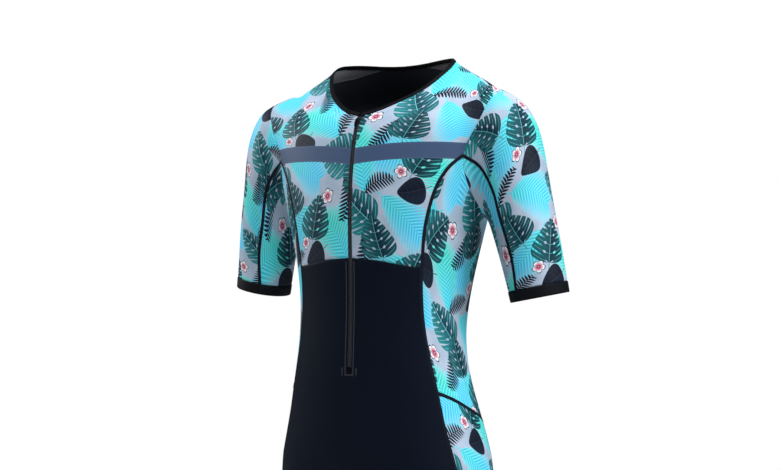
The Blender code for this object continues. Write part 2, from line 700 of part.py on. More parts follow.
def add_bands(lines):
    """The cuffs and the leg bands, a little proud of the panels above them."""
    arm_steps = len(lines["cuff_outer"]) - 1
    under_steps = len(lines["cuff_inner"]) - 1
    cuff_arcs = [(CUFF_SEAM_FRONT, CUFF_SEAM_BACK, arm_steps),
                 (CUFF_SEAM_BACK - 360, CUFF_SEAM_FRONT, under_steps)]
    add_pair("cuff", band_grids(CUFF_LOOP, cuff_arcs, CUFF_WIDTH), "black_elastic",
             outer=BAND_PROUD, thick=BAND_WALL)
    hem_arcs = [(-INSEAM_TURN, HEM_SEAM_FRONT, len(lines["hem_front"]) - 1),
                (HEM_SEAM_FRONT, HEM_SEAM_BACK, len(lines["hem_side"]) - 1),
                (HEM_SEAM_BACK, INSEAM_TURN, len(lines["hem_back"]) - 1)]
    add_pair("leg_band", band_grids(HEM_LOOP, hem_arcs, HEM_WIDTH), "black_elastic",
             outer=BAND_PROUD, thick=BAND_WALL)


def swept(path, rises, normals, profile):
    """A closed bar along a path; the profile's points are (along the rise, outwards)."""
    count = len(profile)
    points = []
    for place, rise, normal in zip(path, rises, normals):
        points.extend(place + up * rise + out * normal for up, out in profile)
    faces = []
    for i in range(len(path) - 1):
        for k in range(count):
            a, b = i * count + k, i * count + (k + 1) % count
            if comes_first(path[i], path[i + 1]):
                faces += [(a, b, a + count), (b, b + count, a + count)]
            else:
                faces += [(a, b, b + count), (a, b + count, a + count)]
    last = (len(path) - 1) * count
    for k in range(1, count - 1):
        faces.append((0, k + 1, k))
        faces.append((last, last + k, last + k + 1))
    return np.array(points), faces


def closed_way_out(points, faces):
    """Turn a closed body's faces out, by the sign of its volume."""
    volume = sum(np.dot(points[a], np.cross(points[b], points[c])) for a, b, c in faces)
    return faces if volume > 0 else [face[::-1] for face in faces]


def add_collar(lines):
    """One folded binding round the neck, from one side of the zip to the other."""
    left = joined(lines, "neck_edge", "neck_behind")
    path = np.concatenate([left, mirrored(left)[::-1][1:]])
    normals = outwards(path)
    along = np.gradient(path, axis=0)
    rises = np.cross(normals, along)
    rises = rises / np.linalg.norm(rises, axis=1, keepdims=True)
    rises = rises * np.sign((rises @ np.array([0.0, 0.0, 1.0]))[0])
    low = SEAM_GAP / 2
    high = low + COLLAR_WIDTH
    outer = (COLLAR_THICK - PANEL_WALL) / 2
    inner = outer - COLLAR_THICK
    profile = [(low, inner), (low, outer), (high - COLLAR_FOLD, outer), (high, (outer + inner) / 2),
               (high - COLLAR_FOLD, inner)]
    points, faces = swept(path, rises, normals, profile)
    add_object("collar", points, closed_way_out(points, faces), "black_elastic")


# Zip
def front_on_skin(height):
    """The point in the middle of the front at one height, and the outward direction there."""
    start = np.array([[0.0, float(spline_read(TRUNK, "front", np.array(height))), height]])
    place = onto_figure(start)
    return place[0], outwards(place)[0]


def add_zip_tapes(lines):
    """Two woven tapes behind the panels, made from the panels' own points beside the slot."""
    upper = yoke_patches(lines)[1][:, :2]
    lower = front_patches(lines)[0][:len(lines["centre_zip"]), :2]
    grid = np.concatenate([upper, lower[1:]])
    reach = grid[:, 1] - grid[:, 0]
    reach = reach / np.linalg.norm(reach, axis=1, keepdims=True)
    tape = np.stack([grid[:, 0], grid[:, 0] + TAPE_WIDTH * reach], axis=1)
    points, faces = wall([tape], outer=-(PANEL_WALL + SEAM_GAP), thick=TAPE_THICK, gap=0.0)
    add_object("zip_tape_left", points, faces, "zip_nylon")
    add_object("zip_tape_right", mirrored(points), [face[::-1] for face in faces], "zip_nylon")


def add_zip_chain(lines):
    """The closed chain in the slot, a little below the panels' faces, and its bottom stop."""
    path = joined(lines, "centre_top", "centre_zip")
    normals = outwards(path)
    path[:, 0] = 0.0
    normals[:, 0] = 0.0
    downward = path[-1] - path[-2]
    downward = downward / np.linalg.norm(downward)
    foot_place = path[-1] - (STOP_LENGTH + SEAM_GAP) * downward
    foot = -CHAIN_SINK - CHAIN_THICK
    edge = -CHAIN_SINK - CHAIN_THICK / 3
    profile = [(-CHAIN_HALF, foot), (-CHAIN_HALF, edge), (-CHAIN_HALF / 2, -CHAIN_SINK),
               (CHAIN_HALF / 2, -CHAIN_SINK), (CHAIN_HALF, edge), (CHAIN_HALF, foot)]
    chain = np.concatenate([path[:-1], foot_place[None]])
    sideways = np.tile([1.0, 0.0, 0.0], (len(chain), 1))
    points, faces = swept(chain, sideways, normals, profile)
    add_object("zip_chain", points, closed_way_out(points, faces), "zip_nylon")
    stop = np.array([foot_place + SEAM_GAP * downward, path[-1]])
    profile = [(-STOP_HALF, -STOP_THICK), (-STOP_HALF, 0.0), (STOP_HALF, 0.0), (STOP_HALF, -STOP_THICK)]
    points, faces = swept(stop, sideways[:2], normals[-2:], profile)
    add_object("zip_stop", points, closed_way_out(points, faces), "zip_metal", smooth=False)


def slider_axes():
    """The slider's place on the skin, and its across, up and outward directions."""
    place, normal = front_on_skin(SLIDER_HEIGHT)
    across = np.array([1.0, 0.0, 0.0])
    upward = np.cross(normal, across)
    return place, across, upward / np.linalg.norm(upward), normal


def extruded(name, outline, hole, half_thick, pivot, lean, finish):
    """A flat outline with a hole, made thick, lying at a pivot's height and leaning in."""
    place, across, upward, normal = slider_axes()
    mesh = bmesh.new()
    for ring in (outline, hole):
        corners = [mesh.verts.new((x, y, -half_thick)) for x, y in ring]
        for i, corner in enumerate(corners):
            mesh.edges.new((corner, corners[(i + 1) % len(corners)]))
    bmesh.ops.triangle_fill(mesh, use_beauty=True, use_dissolve=False, edges=mesh.edges[:])
    raised = bmesh.ops.extrude_face_region(mesh, geom=mesh.faces[:])
    lifted = [item for item in raised["geom"] if isinstance(item, bmesh.types.BMVert)]
    bmesh.ops.translate(mesh, verts=lifted, vec=(0, 0, 2 * half_thick))
    bmesh.ops.recalc_face_normals(mesh, faces=mesh.faces[:])
    bmesh.ops.triangulate(mesh, faces=mesh.faces[:])
    mesh.verts.index_update()
    points = np.array([tuple(vert.co) for vert in mesh.verts])
    faces = [tuple(vert.index for vert in face.verts) for face in mesh.faces]
    mesh.free()
    along = points[:, 1] * math.cos(lean) - points[:, 2] * math.sin(lean)
    out = points[:, 1] * math.sin(lean) + points[:, 2] * math.cos(lean) + pivot
    spread = place + points[:, :1] * across + along[:, None] * upward + out[:, None] * normal
    return add_object(name, spread, closed_way_out(spread, faces), finish, smooth=False)


def rounded_end(half_width, end, corner_steps=5):
    """The lower end of a tab: a half round between its two sides, from left to right."""
    turns = np.linspace(math.pi, 2 * math.pi, corner_steps + 2)
    return [(half_width * math.cos(turn), end + half_width + half_width * math.sin(turn)) for turn in turns]


def add_slider():
    """The slider's plate with its arch, made as one outline seen from the side."""
    place, across, upward, normal = slider_axes()
    base = SLIDER_LIFT
    top = base + SLIDER_THICK
    roof = top + ARCH_CLEAR
    inner = ARCH_REACH - ARCH_THICK
    plate = [(-SLIDER_HALF_LENGTH, base), (SLIDER_HALF_LENGTH, base), (SLIDER_HALF_LENGTH, top),
             (-SLIDER_HALF_LENGTH, top)]
    blocks = [(plate, SLIDER_HALF_WIDTH)]
    foot = top - ARCH_SINK
    arch = [(-ARCH_REACH, foot), (-inner, foot), (-inner, roof - ARCH_THICK / 2),
            (-inner + ARCH_THICK / 2, roof), (inner - ARCH_THICK / 2, roof), (inner, roof - ARCH_THICK / 2),
            (inner, foot), (ARCH_REACH, foot), (ARCH_REACH, roof),
            (ARCH_REACH - ARCH_THICK, roof + ARCH_THICK), (-ARCH_REACH + ARCH_THICK, roof + ARCH_THICK),
            (-ARCH_REACH, roof)]
    blocks.append((arch, ARCH_HALF_WIDTH))
    made = []
    for number, (outline, half) in enumerate(blocks):
        mesh = bmesh.new()
        corners = [mesh.verts.new((-half, y, z)) for y, z in outline]
        mesh.faces.new(corners)
        raised = bmesh.ops.extrude_face_region(mesh, geom=mesh.faces[:])
        lifted = [item for item in raised["geom"] if isinstance(item, bmesh.types.BMVert)]
        bmesh.ops.translate(mesh, verts=lifted, vec=(2 * half, 0, 0))
        bmesh.ops.recalc_face_normals(mesh, faces=mesh.faces[:])
        for vert in mesh.verts:
            x, y, z = vert.co
            vert.co = place + x * across + y * upward + z * normal
        data = bpy.data.meshes.new("slider_block_" + str(number))
        mesh.to_mesh(data)
        mesh.free()
        data.materials.append(material("zip_metal"))
        made.append(bpy.data.objects.new("zip_slider" if number == 0 else "slider_arch", data))
        bpy.context.scene.collection.objects.link(made[-1])
    plate_object, arch_object = made
    arch_object.hide_render = True
    arch_object.display_type = "WIRE"
    union = plate_object.modifiers.new("arch", "BOOLEAN")
    union.operation = "UNION"
    union.object = arch_object


def add_pull():
    """The pull tab: a bar under the slider's arch, an eye round it, and a tapered tab."""
    pivot = SLIDER_LIFT + SLIDER_THICK + PULL_PIVOT
    tip = rounded_end(PULL_TIP_HALF, -PULL_LENGTH)
    rim = -PULL_EYE_END - PULL_EYE_RIM
    shoulders = [(PULL_HALF_WIDTH, rim), (PULL_HALF_WIDTH, PULL_BAR_HALF),
                 (-PULL_HALF_WIDTH, PULL_BAR_HALF), (-PULL_HALF_WIDTH, rim)]
    hole = [(-PULL_EYE_HALF, -PULL_BAR_HALF), (-PULL_EYE_HALF, -PULL_EYE_END),
            (PULL_EYE_HALF, -PULL_EYE_END), (PULL_EYE_HALF, -PULL_BAR_HALF)]
    extruded("zip_pull", tip + shoulders, hole, PULL_BAR_HALF, pivot, PULL_LEAN, "zip_metal")


def build():
    """All the suit's pieces."""
    for old in list(bpy.data.objects):
        bpy.data.objects.remove(old, do_unlink=True)
    lines = all_lines()
    add_pair("front_yoke", yoke_patches(lines), "print_knit")
    add_whole("front_lower", front_patches(lines), "black_knit")
    add_whole("back", back_patches(lines), "black_knit")
    add_pair("side", side_patches(lines), "print_knit")
    add_pair("leg_side", leg_side_patches(lines), "print_knit")
    add_pair("sleeve", sleeve_patches(lines), "print_knit")
    add_pair("underarm", underarm_patches(lines), "print_knit")
    add_bands(lines)
    add_collar(lines)
    add_zip_tapes(lines)
    add_zip_chain(lines)
    add_slider()
    add_pull()


build()
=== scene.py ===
"""The looks of a short-sleeved triathlon suit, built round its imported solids.

Each panel of cloth is a thin shell on the same figure and between the same seams as
its solid, in finer steps. The print, knit and weave are procedural.
"""
import math
from collections import namedtuple
from functools import lru_cache

import bmesh
import bpy
import numpy as np
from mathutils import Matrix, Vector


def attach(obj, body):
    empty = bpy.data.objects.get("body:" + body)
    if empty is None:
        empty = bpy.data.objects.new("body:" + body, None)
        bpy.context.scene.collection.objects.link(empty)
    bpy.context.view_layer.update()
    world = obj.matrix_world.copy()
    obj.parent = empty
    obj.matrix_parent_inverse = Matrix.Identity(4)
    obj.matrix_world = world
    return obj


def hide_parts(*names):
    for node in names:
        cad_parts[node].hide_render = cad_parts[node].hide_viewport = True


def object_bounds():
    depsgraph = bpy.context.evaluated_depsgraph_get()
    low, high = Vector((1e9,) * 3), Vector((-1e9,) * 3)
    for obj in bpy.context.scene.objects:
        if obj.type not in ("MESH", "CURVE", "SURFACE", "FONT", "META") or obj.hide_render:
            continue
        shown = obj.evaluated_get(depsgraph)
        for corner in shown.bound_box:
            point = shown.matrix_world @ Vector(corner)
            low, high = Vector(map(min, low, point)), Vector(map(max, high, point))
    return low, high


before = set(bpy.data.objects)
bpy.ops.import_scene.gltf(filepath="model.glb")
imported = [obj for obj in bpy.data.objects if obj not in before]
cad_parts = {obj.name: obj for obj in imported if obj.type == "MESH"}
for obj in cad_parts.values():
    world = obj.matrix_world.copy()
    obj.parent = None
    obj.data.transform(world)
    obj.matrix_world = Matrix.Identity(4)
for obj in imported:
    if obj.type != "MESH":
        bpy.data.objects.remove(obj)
cad_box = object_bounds()

# Steps of cloth for each step of the solids
FINE = 7

# Cloth
SHELL = 0.0009
SEAM_GAP = 0.0003
COLLAR_WIDTH = 0.0070
CUFF_WIDTH = 0.018
HEM_WIDTH = 0.030
SLOT_HALF = 0.0032
SLOT_FOOT_HEIGHT = -0.495
ZIP_END_HEIGHT = -0.500
SLIDER_HEIGHT = -0.0980

# How far two shapes melt into each other where they meet
BLEND_ARM = 0.026
BLEND_LEG = 0.045
TRUNK_SQUARE = 2.25
LIMB_SQUARE = 2.10
ARM_END_SLOPE = 3.0
TRUNK_END_SLOPE = 3.0
LEG_END_SLOPE = 0.45

# Level sections, from the top down: the two half sizes and where each one lies
Section = namedtuple("Section", "height centre half_width front back")
TRUNK = (
    Section(+0.040, 0.0, 0.088, +0.020, 0.058),
    Section(+0.015, 0.0, 0.100, +0.008, 0.061),
    Section(+0.000, 0.0, 0.116, -0.003, 0.067),
    Section(-0.015, 0.0, 0.138, -0.012, 0.077),
    Section(-0.032, 0.0, 0.167, -0.024, 0.087),
    Section(-0.050, 0.0, 0.189, -0.041, 0.096),
    Section(-0.068, 0.0, 0.198, -0.063, 0.102),
    Section(-0.090, 0.0, 0.202, -0.086, 0.108),
    Section(-0.142, 0.0, 0.197, -0.108, 0.117),
    Section(-0.200, 0.0, 0.184, -0.117, 0.124),
    Section(-0.260, 0.0, 0.169, -0.119, 0.124),
    Section(-0.330, 0.0, 0.152, -0.117, 0.116),
    Section(-0.380, 0.0, 0.144, -0.116, 0.104),
    Section(-0.424, 0.0, 0.141, -0.117, 0.094),
    Section(-0.465, 0.0, 0.143, -0.119, 0.089),
    Section(-0.510, 0.0, 0.150, -0.121, 0.092),
    Section(-0.560, 0.0, 0.160, -0.123, 0.107),
    Section(-0.620, 0.0, 0.171, -0.125, 0.122),
    Section(-0.670, 0.0, 0.175, -0.119, 0.121),
    Section(-0.720, 0.0, 0.167, -0.104, 0.108),
    Section(-0.755, 0.0, 0.148, -0.084, 0.089),
    Section(-0.780, 0.0, 0.105, -0.052, 0.058),
    Section(-0.795, 0.0, 0.050, -0.018, 0.024),
)
ARM = (
    Section(-0.045, 0.186, 0.006, -0.004, 0.010),
    Section(-0.053, 0.190, 0.021, -0.018, 0.024),
    Section(-0.065, 0.196, 0.036, -0.034, 0.040),
    Section(-0.085, 0.201, 0.049, -0.046, 0.054),
    Section(-0.110, 0.205, 0.057, -0.052, 0.063),
    Section(-0.150, 0.212, 0.060, -0.053, 0.068),
    Section(-0.200, 0.223, 0.057, -0.047, 0.069),
    Section(-0.260, 0.238, 0.053, -0.038, 0.067),
    Section(-0.330, 0.253, 0.049, -0.027, 0.069),
    Section(-0.400, 0.266, 0.046, -0.019, 0.072),
)
LEG = (
    Section(-0.640, 0.086, 0.070, -0.088, 0.090),
    Section(-0.720, 0.090, 0.084, -0.099, 0.103),
    Section(-0.800, 0.097, 0.088, -0.097, 0.104),
    Section(-0.900, 0.105, 0.083, -0.084, 0.093),
    Section(-1.050, 0.113, 0.073, -0.066, 0.080),
)

# Corners where seams meet, on the wearer's left half
Mark = namedtuple("Mark", "x y z")
MARKS = {
    "neck_front": Mark(SLOT_HALF, -0.087, -0.090),
    "neck_shoulder": Mark(0.045, 0.064, 0.002),
    "neck_back": Mark(0.0, 0.067, 0.000),
    "shoulder_tip": Mark(0.208, 0.003, -0.053),
    "front_joint": Mark(0.170, -0.061, -0.157),
    "armpit": Mark(0.177, 0.008, -0.250),
    "back_joint": Mark(0.172, 0.068, -0.157),
    "blade_centre": Mark(0.0, 0.119, -0.157),
    "yoke_centre": Mark(SLOT_HALF, -0.116, -0.316),
    "yoke_side": Mark(0.110, -0.085, -0.331),
    "slot_foot": Mark(SLOT_HALF, -0.121, SLOT_FOOT_HEIGHT),
    "zip_end": Mark(0.0, -0.121, ZIP_END_HEIGHT),
    "hip_seam_front": Mark(0.132, -0.075, -0.525),
    "hip_seam_back": Mark(0.162, 0.046, -0.580),
    "front_rise": Mark(0.0, -0.115, -0.700),
    "front_thigh": Mark(0.168, -0.058, -0.715),
    "seat_centre": Mark(0.0, 0.118, -0.700),
    "back_thigh": Mark(0.172, 0.056, -0.715),
    "crotch": Mark(0.0, 0.003, -0.800),
    "front_leg": Mark(0.172, -0.045, -0.830),
    "back_leg": Mark(0.172, 0.055, -0.830),
}

# Seams and inner guide lines: start, end, steps, and the points between them.
Line = namedtuple("Line", "start end steps through")
LINES = {
    "centre_top": Line("neck_front", "yoke_centre", 7, [
        Mark(SLOT_HALF, -0.110, -0.150), Mark(SLOT_HALF, -0.119, -0.240)]),
    "centre_zip": Line("yoke_centre", "slot_foot", 6, [Mark(SLOT_HALF, -0.117, -0.410)]),
    "slot_close": Line("slot_foot", "zip_end", 1, []),
    "centre_low": Line("zip_end", "front_rise", 6, [Mark(0.0, -0.124, -0.600)]),
    "front_curve": Line("front_rise", "crotch", 4, [
        Mark(0.0, -0.085, -0.755), Mark(0.0, -0.040, -0.790)]),
    "neck_edge": Line("neck_front", "neck_shoulder", 7, [
        Mark(0.033, -0.077, -0.081), Mark(0.062, -0.058, -0.064), Mark(0.087, -0.033, -0.046),
        Mark(0.104, -0.008, -0.027), Mark(0.113, 0.018, -0.008), Mark(0.100, 0.044, 0.002),
        Mark(0.074, 0.057, 0.004)]),
    "neck_behind": Line("neck_shoulder", "neck_back", 2, [Mark(0.022, 0.067, 0.001)]),
    "shoulder": Line("neck_shoulder", "shoulder_tip", 6, [
        Mark(0.095, 0.058, -0.012), Mark(0.150, 0.036, -0.030), Mark(0.185, 0.016, -0.044)]),
    "arm_front": Line("front_joint", "shoulder_tip", 7, [
        Mark(0.174, -0.059, -0.140), Mark(0.190, -0.053, -0.108), Mark(0.203, -0.040, -0.074),
        Mark(0.209, -0.022, -0.058)]),
    "arm_back": Line("shoulder_tip", "back_joint", 5, [
        Mark(0.208, 0.030, -0.062), Mark(0.200, 0.052, -0.085), Mark(0.184, 0.065, -0.120)]),
    "under_front": Line("front_joint", "armpit", 4, [
        Mark(0.169, -0.057, -0.178), Mark(0.173, -0.044, -0.207), Mark(0.178, -0.022, -0.234)]),
    "under_back": Line("armpit", "back_joint", 4, [
        Mark(0.178, 0.034, -0.238), Mark(0.177, 0.052, -0.210), Mark(0.174, 0.064, -0.182)]),
    "chest": Line("neck_front", "front_joint", 6, [
        Mark(0.060, -0.099, -0.120), Mark(0.120, -0.088, -0.145)]),
    "blade": Line("blade_centre", "back_joint", 8, [
        Mark(0.060, 0.117, -0.157), Mark(0.120, 0.103, -0.157)]),
    "centre_nape": Line("neck_back", "blade_centre", 5, [
        Mark(0.0, 0.093, -0.045), Mark(0.0, 0.110, -0.100)]),
    "princess_bust": Line("front_joint", "yoke_side", 7, [
        Mark(0.153, -0.074, -0.174), Mark(0.136, -0.084, -0.204), Mark(0.120, -0.090, -0.262)]),
    "princess_waist": Line("yoke_side", "hip_seam_front", 7, [
        Mark(0.109, -0.084, -0.370), Mark(0.112, -0.082, -0.420), Mark(0.121, -0.079, -0.475)]),
    "princess_hip": Line("hip_seam_front", "front_thigh", 6, [
        Mark(0.144, -0.072, -0.580), Mark(0.158, -0.065, -0.642)]),
    "princess_thigh": Line("front_thigh", "front_leg", 4, [Mark(0.172, -0.050, -0.770)]),
    "side_body": Line("back_joint", "hip_seam_back", 14, [
        Mark(0.160, 0.077, -0.190), Mark(0.152, 0.077, -0.240), Mark(0.143, 0.072, -0.300),
        Mark(0.131, 0.064, -0.370), Mark(0.127, 0.055, -0.430), Mark(0.140, 0.050, -0.510)]),
    "side_hip": Line("hip_seam_back", "back_thigh", 6, [Mark(0.170, 0.048, -0.640)]),
    "side_thigh": Line("back_thigh", "back_leg", 4, [Mark(0.174, 0.056, -0.770)]),
    "yoke_edge": Line("yoke_centre", "yoke_side", 6, [
        Mark(0.050, -0.111, -0.320), Mark(0.085, -0.100, -0.327)]),
    "hip_front": Line("front_rise", "front_thigh", 6, [
        Mark(0.060, -0.113, -0.703), Mark(0.120, -0.094, -0.709)]),
    "hip_back": Line("seat_centre", "back_thigh", 8, [
        Mark(0.060, 0.115, -0.703), Mark(0.120, 0.096, -0.709)]),
    "centre_back": Line("blade_centre", "seat_centre", 20, [
        Mark(0.0, 0.124, -0.240), Mark(0.0, 0.112, -0.350), Mark(0.0, 0.090, -0.450),
        Mark(0.0, 0.103, -0.550), Mark(0.0, 0.122, -0.620)]),
    "back_curve": Line("seat_centre", "crotch", 4, [
        Mark(0.0, 0.090, -0.755), Mark(0.0, 0.045, -0.790)]),
    "thigh_front": Line("crotch", "front_leg", 6, [
        Mark(0.040, -0.065, -0.815), Mark(0.100, -0.097, -0.822)]),
    "thigh_back": Line("crotch", "back_leg", 8, [
        Mark(0.040, 0.075, -0.815), Mark(0.100, 0.103, -0.822)]),
    "hip_seam": Line("hip_seam_front", "hip_seam_back", 8, [
        Mark(0.147, -0.053, -0.536), Mark(0.158, -0.020, -0.553)]),
}

# The points that the seams down the limbs pass between their two ends
LIMB_LINES = {
    "sleeve_front": [
        Mark(0.192, -0.050, -0.175), Mark(0.209, -0.045, -0.204),
        Mark(0.222, -0.037, -0.257), Mark(0.236, -0.028, -0.315)],
    "sleeve_back": [Mark(0.192, 0.066, -0.178), Mark(0.211, 0.067, -0.215), Mark(0.228, 0.067, -0.275)],
    "inseam": [Mark(0.012, 0.003, -0.840), Mark(0.024, 0.004, -0.910)],
    "front_leg_seam": [Mark(0.172, -0.044, -0.910)],
    "back_leg_seam": [Mark(0.174, 0.056, -0.910)],
}

# Where the sleeve and the leg end: a loop round the limb, square to it
Loop = namedtuple("Loop", "x y z tilt_x tilt_y")
CUFF_LOOP = Loop(0.2565, 0.0215, -0.3610, 0.200, 0.030)
HEM_LOOP = Loop(0.1125, 0.0060, -1.0000, 0.060, 0.000)

# Turns round a loop, in degrees from straight outwards, towards the back
CUFF_SEAM_FRONT = -112.0
CUFF_SEAM_BACK = 110.0
HEM_SEAM_FRONT = -38.0
HEM_SEAM_BACK = 36.0
INSEAM_TURN = 180.0
SLEEVE_STEPS = 8 * FINE
LEG_STEPS = 6 * FINE

# A loop's points lie between these two distances from its centre
RAY_START = 0.010
RAY_END = 0.130

# Soft troughs pressed into the skin, where the knit gathers by the arms
Crease = namedtuple("Crease", "x y z run_x run_y run_z length width depth")
CREASES = [
    Crease(0.160, -0.078, -0.232, 0.30, -0.20, -1.00, 0.070, 0.010, 0.0016),
    Crease(0.172, -0.050, -0.262, 0.35, -0.55, -1.00, 0.060, 0.009, 0.0018),
    Crease(0.166, 0.078, -0.240, 0.30, 0.25, -1.00, 0.070, 0.010, 0.0016),
    Crease(0.205, -0.042, -0.232, -0.80, 0.10, -1.00, 0.045, 0.008, 0.0014),
]

# The figure
@lru_cache(maxsize=None)
def spline_table(rows, column):
    """The knots, values and bends of a natural cubic spline through one column of a table."""
    table = sorted(rows, key=lambda row: row.height)
    knots = np.array([row.height for row in table])
    values = np.array([getattr(row, column) for row in table])
    steps = np.diff(knots)
    count = len(knots)
    matrix = np.eye(count)
    right_side = np.zeros(count)
    for i in range(1, count - 1):
        matrix[i, i - 1:i + 2] = steps[i - 1], 2 * (steps[i - 1] + steps[i]), steps[i]
        change = (values[i + 1] - values[i]) / steps[i] - (values[i] - values[i - 1]) / steps[i - 1]
        right_side[i] = 6 * change
    return knots, values, np.linalg.solve(matrix, right_side)


def spline_read(rows, column, heights):
    """Read one column of a section table at any heights, level past its ends."""
    knots, values, bends = spline_table(rows, column)
    heights = np.clip(heights, knots[0], knots[-1])
    low = np.clip(np.searchsorted(knots, heights) - 1, 0, len(knots) - 2)
    step = knots[low + 1] - knots[low]
    below = (knots[low + 1] - heights) / step
    above = (heights - knots[low]) / step
    curve = (below ** 3 - below) * bends[low] + (above ** 3 - above) * bends[low + 1]
    return below * values[low] + above * values[low + 1] + curve * step ** 2 / 6


def tube_distance(points, rows, square):
    """How far points lie outside a stack of level sections, measured along the level."""
    heights = points[..., 2]
    centre = spline_read(rows, "centre", heights)
    half = spline_read(rows, "half_width", heights)
    front = spline_read(rows, "front", heights)
    back = spline_read(rows, "back", heights)
    across = points[..., 0] - centre
    through = points[..., 1] - (front + back) / 2
    reach = np.hypot(across, through) + 1e-9
    ratio = np.abs(across / half) ** square + np.abs(2 * through / (back - front)) ** square
    return reach - reach / ratio ** (1 / square)


def soft_union(first, second, width):
    """The nearer of two distances, melted together over a width."""
    mix = np.clip(0.5 + 0.5 * (second - first) / width, 0, 1)
    return second * (1 - mix) + first * mix - width * mix * (1 - mix)


def crease_depth(points):
    """How deep the soft troughs press in at points on the wearer's left half."""
    depth = np.zeros(points.shape[:-1])
    for crease in CREASES:
        offset = points - np.array([crease.x, crease.y, crease.z])
        run = np.array([crease.run_x, crease.run_y, crease.run_z])
        run = run / np.linalg.norm(run)
        along = offset @ run
        aside = np.linalg.norm(offset - along[..., None] * run, axis=-1)
        depth += crease.depth * np.exp(-(along / crease.length * 2) ** 2 - (aside / crease.width) ** 2)
    return depth


def figure_distance(points):
    """How far points lie outside the figure; the figure's skin is where this is zero."""
    folded = np.array(points, dtype=float)
    folded[..., 0] = np.abs(folded[..., 0])
    heights = folded[..., 2]
    trunk = tube_distance(folded, TRUNK, TRUNK_SQUARE)
    trunk = trunk + TRUNK_END_SLOPE * np.maximum(0, TRUNK[-1].height - heights)
    arm = tube_distance(folded, ARM, LIMB_SQUARE)
    arm = arm + ARM_END_SLOPE * np.maximum(0, heights - ARM[0].height)
    leg = tube_distance(folded, LEG, LIMB_SQUARE)
    leg = leg + LEG_END_SLOPE * np.maximum(0, heights - LEG[0].height)
    body = soft_union(trunk, arm, BLEND_ARM)
    return soft_union(body, leg, BLEND_LEG) + crease_depth(folded)


def figure_slope(points, step=0.0004):
    """The direction in which the distance from the figure grows, and how fast."""
    slope = np.zeros(points.shape)
    for axis in range(3):
        shift = np.zeros(3)
        shift[axis] = step
        rise = figure_distance(points + shift) - figure_distance(points - shift)
        slope[..., axis] = rise / (2 * step)
    return slope


def onto_figure(points, rounds=14):
    """Move points onto the figure's skin, straight towards it."""
    points = np.array(points, dtype=float)
    for _ in range(rounds):
        slope = figure_slope(points)
        steep = np.maximum((slope ** 2).sum(axis=-1), 0.05)
        shift = figure_distance(points) / steep
        shift = np.clip(shift, -0.02, 0.02)
        points = points - shift[..., None] * slope
    return points


def outwards(points):
    """The skin's outward direction at points on it."""
    slope = figure_slope(points)
    return slope / np.linalg.norm(slope, axis=-1, keepdims=True)


# Seam lines on the figure
def even_steps(path, steps):
    """Points at even distances along a path."""
    lengths = np.concatenate([[0], np.cumsum(np.linalg.norm(np.diff(path, axis=0), axis=1))])
    stations = np.linspace(0, lengths[-1], steps + 1)
    return np.stack([np.interp(stations, lengths, path[:, axis]) for axis in range(3)], axis=1)


def curve_through(controls, fineness=24):
    """A smooth curve through control points, spaced by the root of their distance."""
    controls = np.array(controls, dtype=float)
    gaps = np.sqrt(np.linalg.norm(np.diff(controls, axis=0), axis=1))
    knots = np.concatenate([[0], np.cumsum(gaps)])
    slopes = np.gradient(controls, knots, axis=0)
    pieces = []
    for i in range(len(controls) - 1):
        t = np.linspace(0, 1, fineness, endpoint=False)[:, None]
        gap = knots[i + 1] - knots[i]
        pieces.append((1 + 2 * t) * (1 - t) ** 2 * controls[i] + t * (1 - t) ** 2 * gap * slopes[i]
                      + t * t * (3 - 2 * t) * controls[i + 1] + t * t * (t - 1) * gap * slopes[i + 1])
    pieces.append(controls[-1:])
    return np.concatenate(pieces)


def seam_line(name):
    """The points of one seam, at even steps on the figure, the same for both its panels."""
    line = LINES[name]
    controls = [MARKS[line.start], *line.through, MARKS[line.end]]
    path = onto_figure(curve_through(onto_figure(controls)))
    return onto_figure(even_steps(path, line.steps * FINE))


def loop_frame(loop):
    """A loop's centre and its outward, backward and upward directions."""
    upward = np.array([-loop.tilt_x, -loop.tilt_y, 1.0])
    upward = upward / np.linalg.norm(upward)
    outward = np.array([1.0, 0.0, 0.0])
    outward = outward - (outward @ upward) * upward
    outward = outward / np.linalg.norm(outward)
    backward = np.cross(upward, outward)
    return np.array([loop.x, loop.y, loop.z]), outward, backward, upward


def loop_arc(loop, first_turn, last_turn, steps, drop=0.0):
    """Points of a limb's edge loop between two turns, found along rays in its plane."""
    centre, outward, backward, upward = loop_frame(loop)
    turns = np.radians(np.linspace(first_turn, last_turn, steps + 1))
    rays = np.cos(turns)[:, None] * outward + np.sin(turns)[:, None] * backward
    start = centre - drop * upward
    near = np.full(len(turns), RAY_START)
    far = np.full(len(turns), RAY_END)
    for _ in range(40):
        middle = (near + far) / 2
        inside = figure_distance(start + middle[:, None] * rays) < 0
        near = np.where(inside, middle, near)
        far = np.where(inside, far, middle)
    return start + near[:, None] * rays


def limb_line(name, start, end, steps):
    """A seam down a limb, from a mark to a point of its edge loop."""
    path = onto_figure(curve_through(onto_figure([start, *LIMB_LINES[name], end])))
    path[0] = start
    path[-1] = end
    points = onto_figure(even_steps(path, steps))
    points[0] = start
    points[-1] = end
    return points


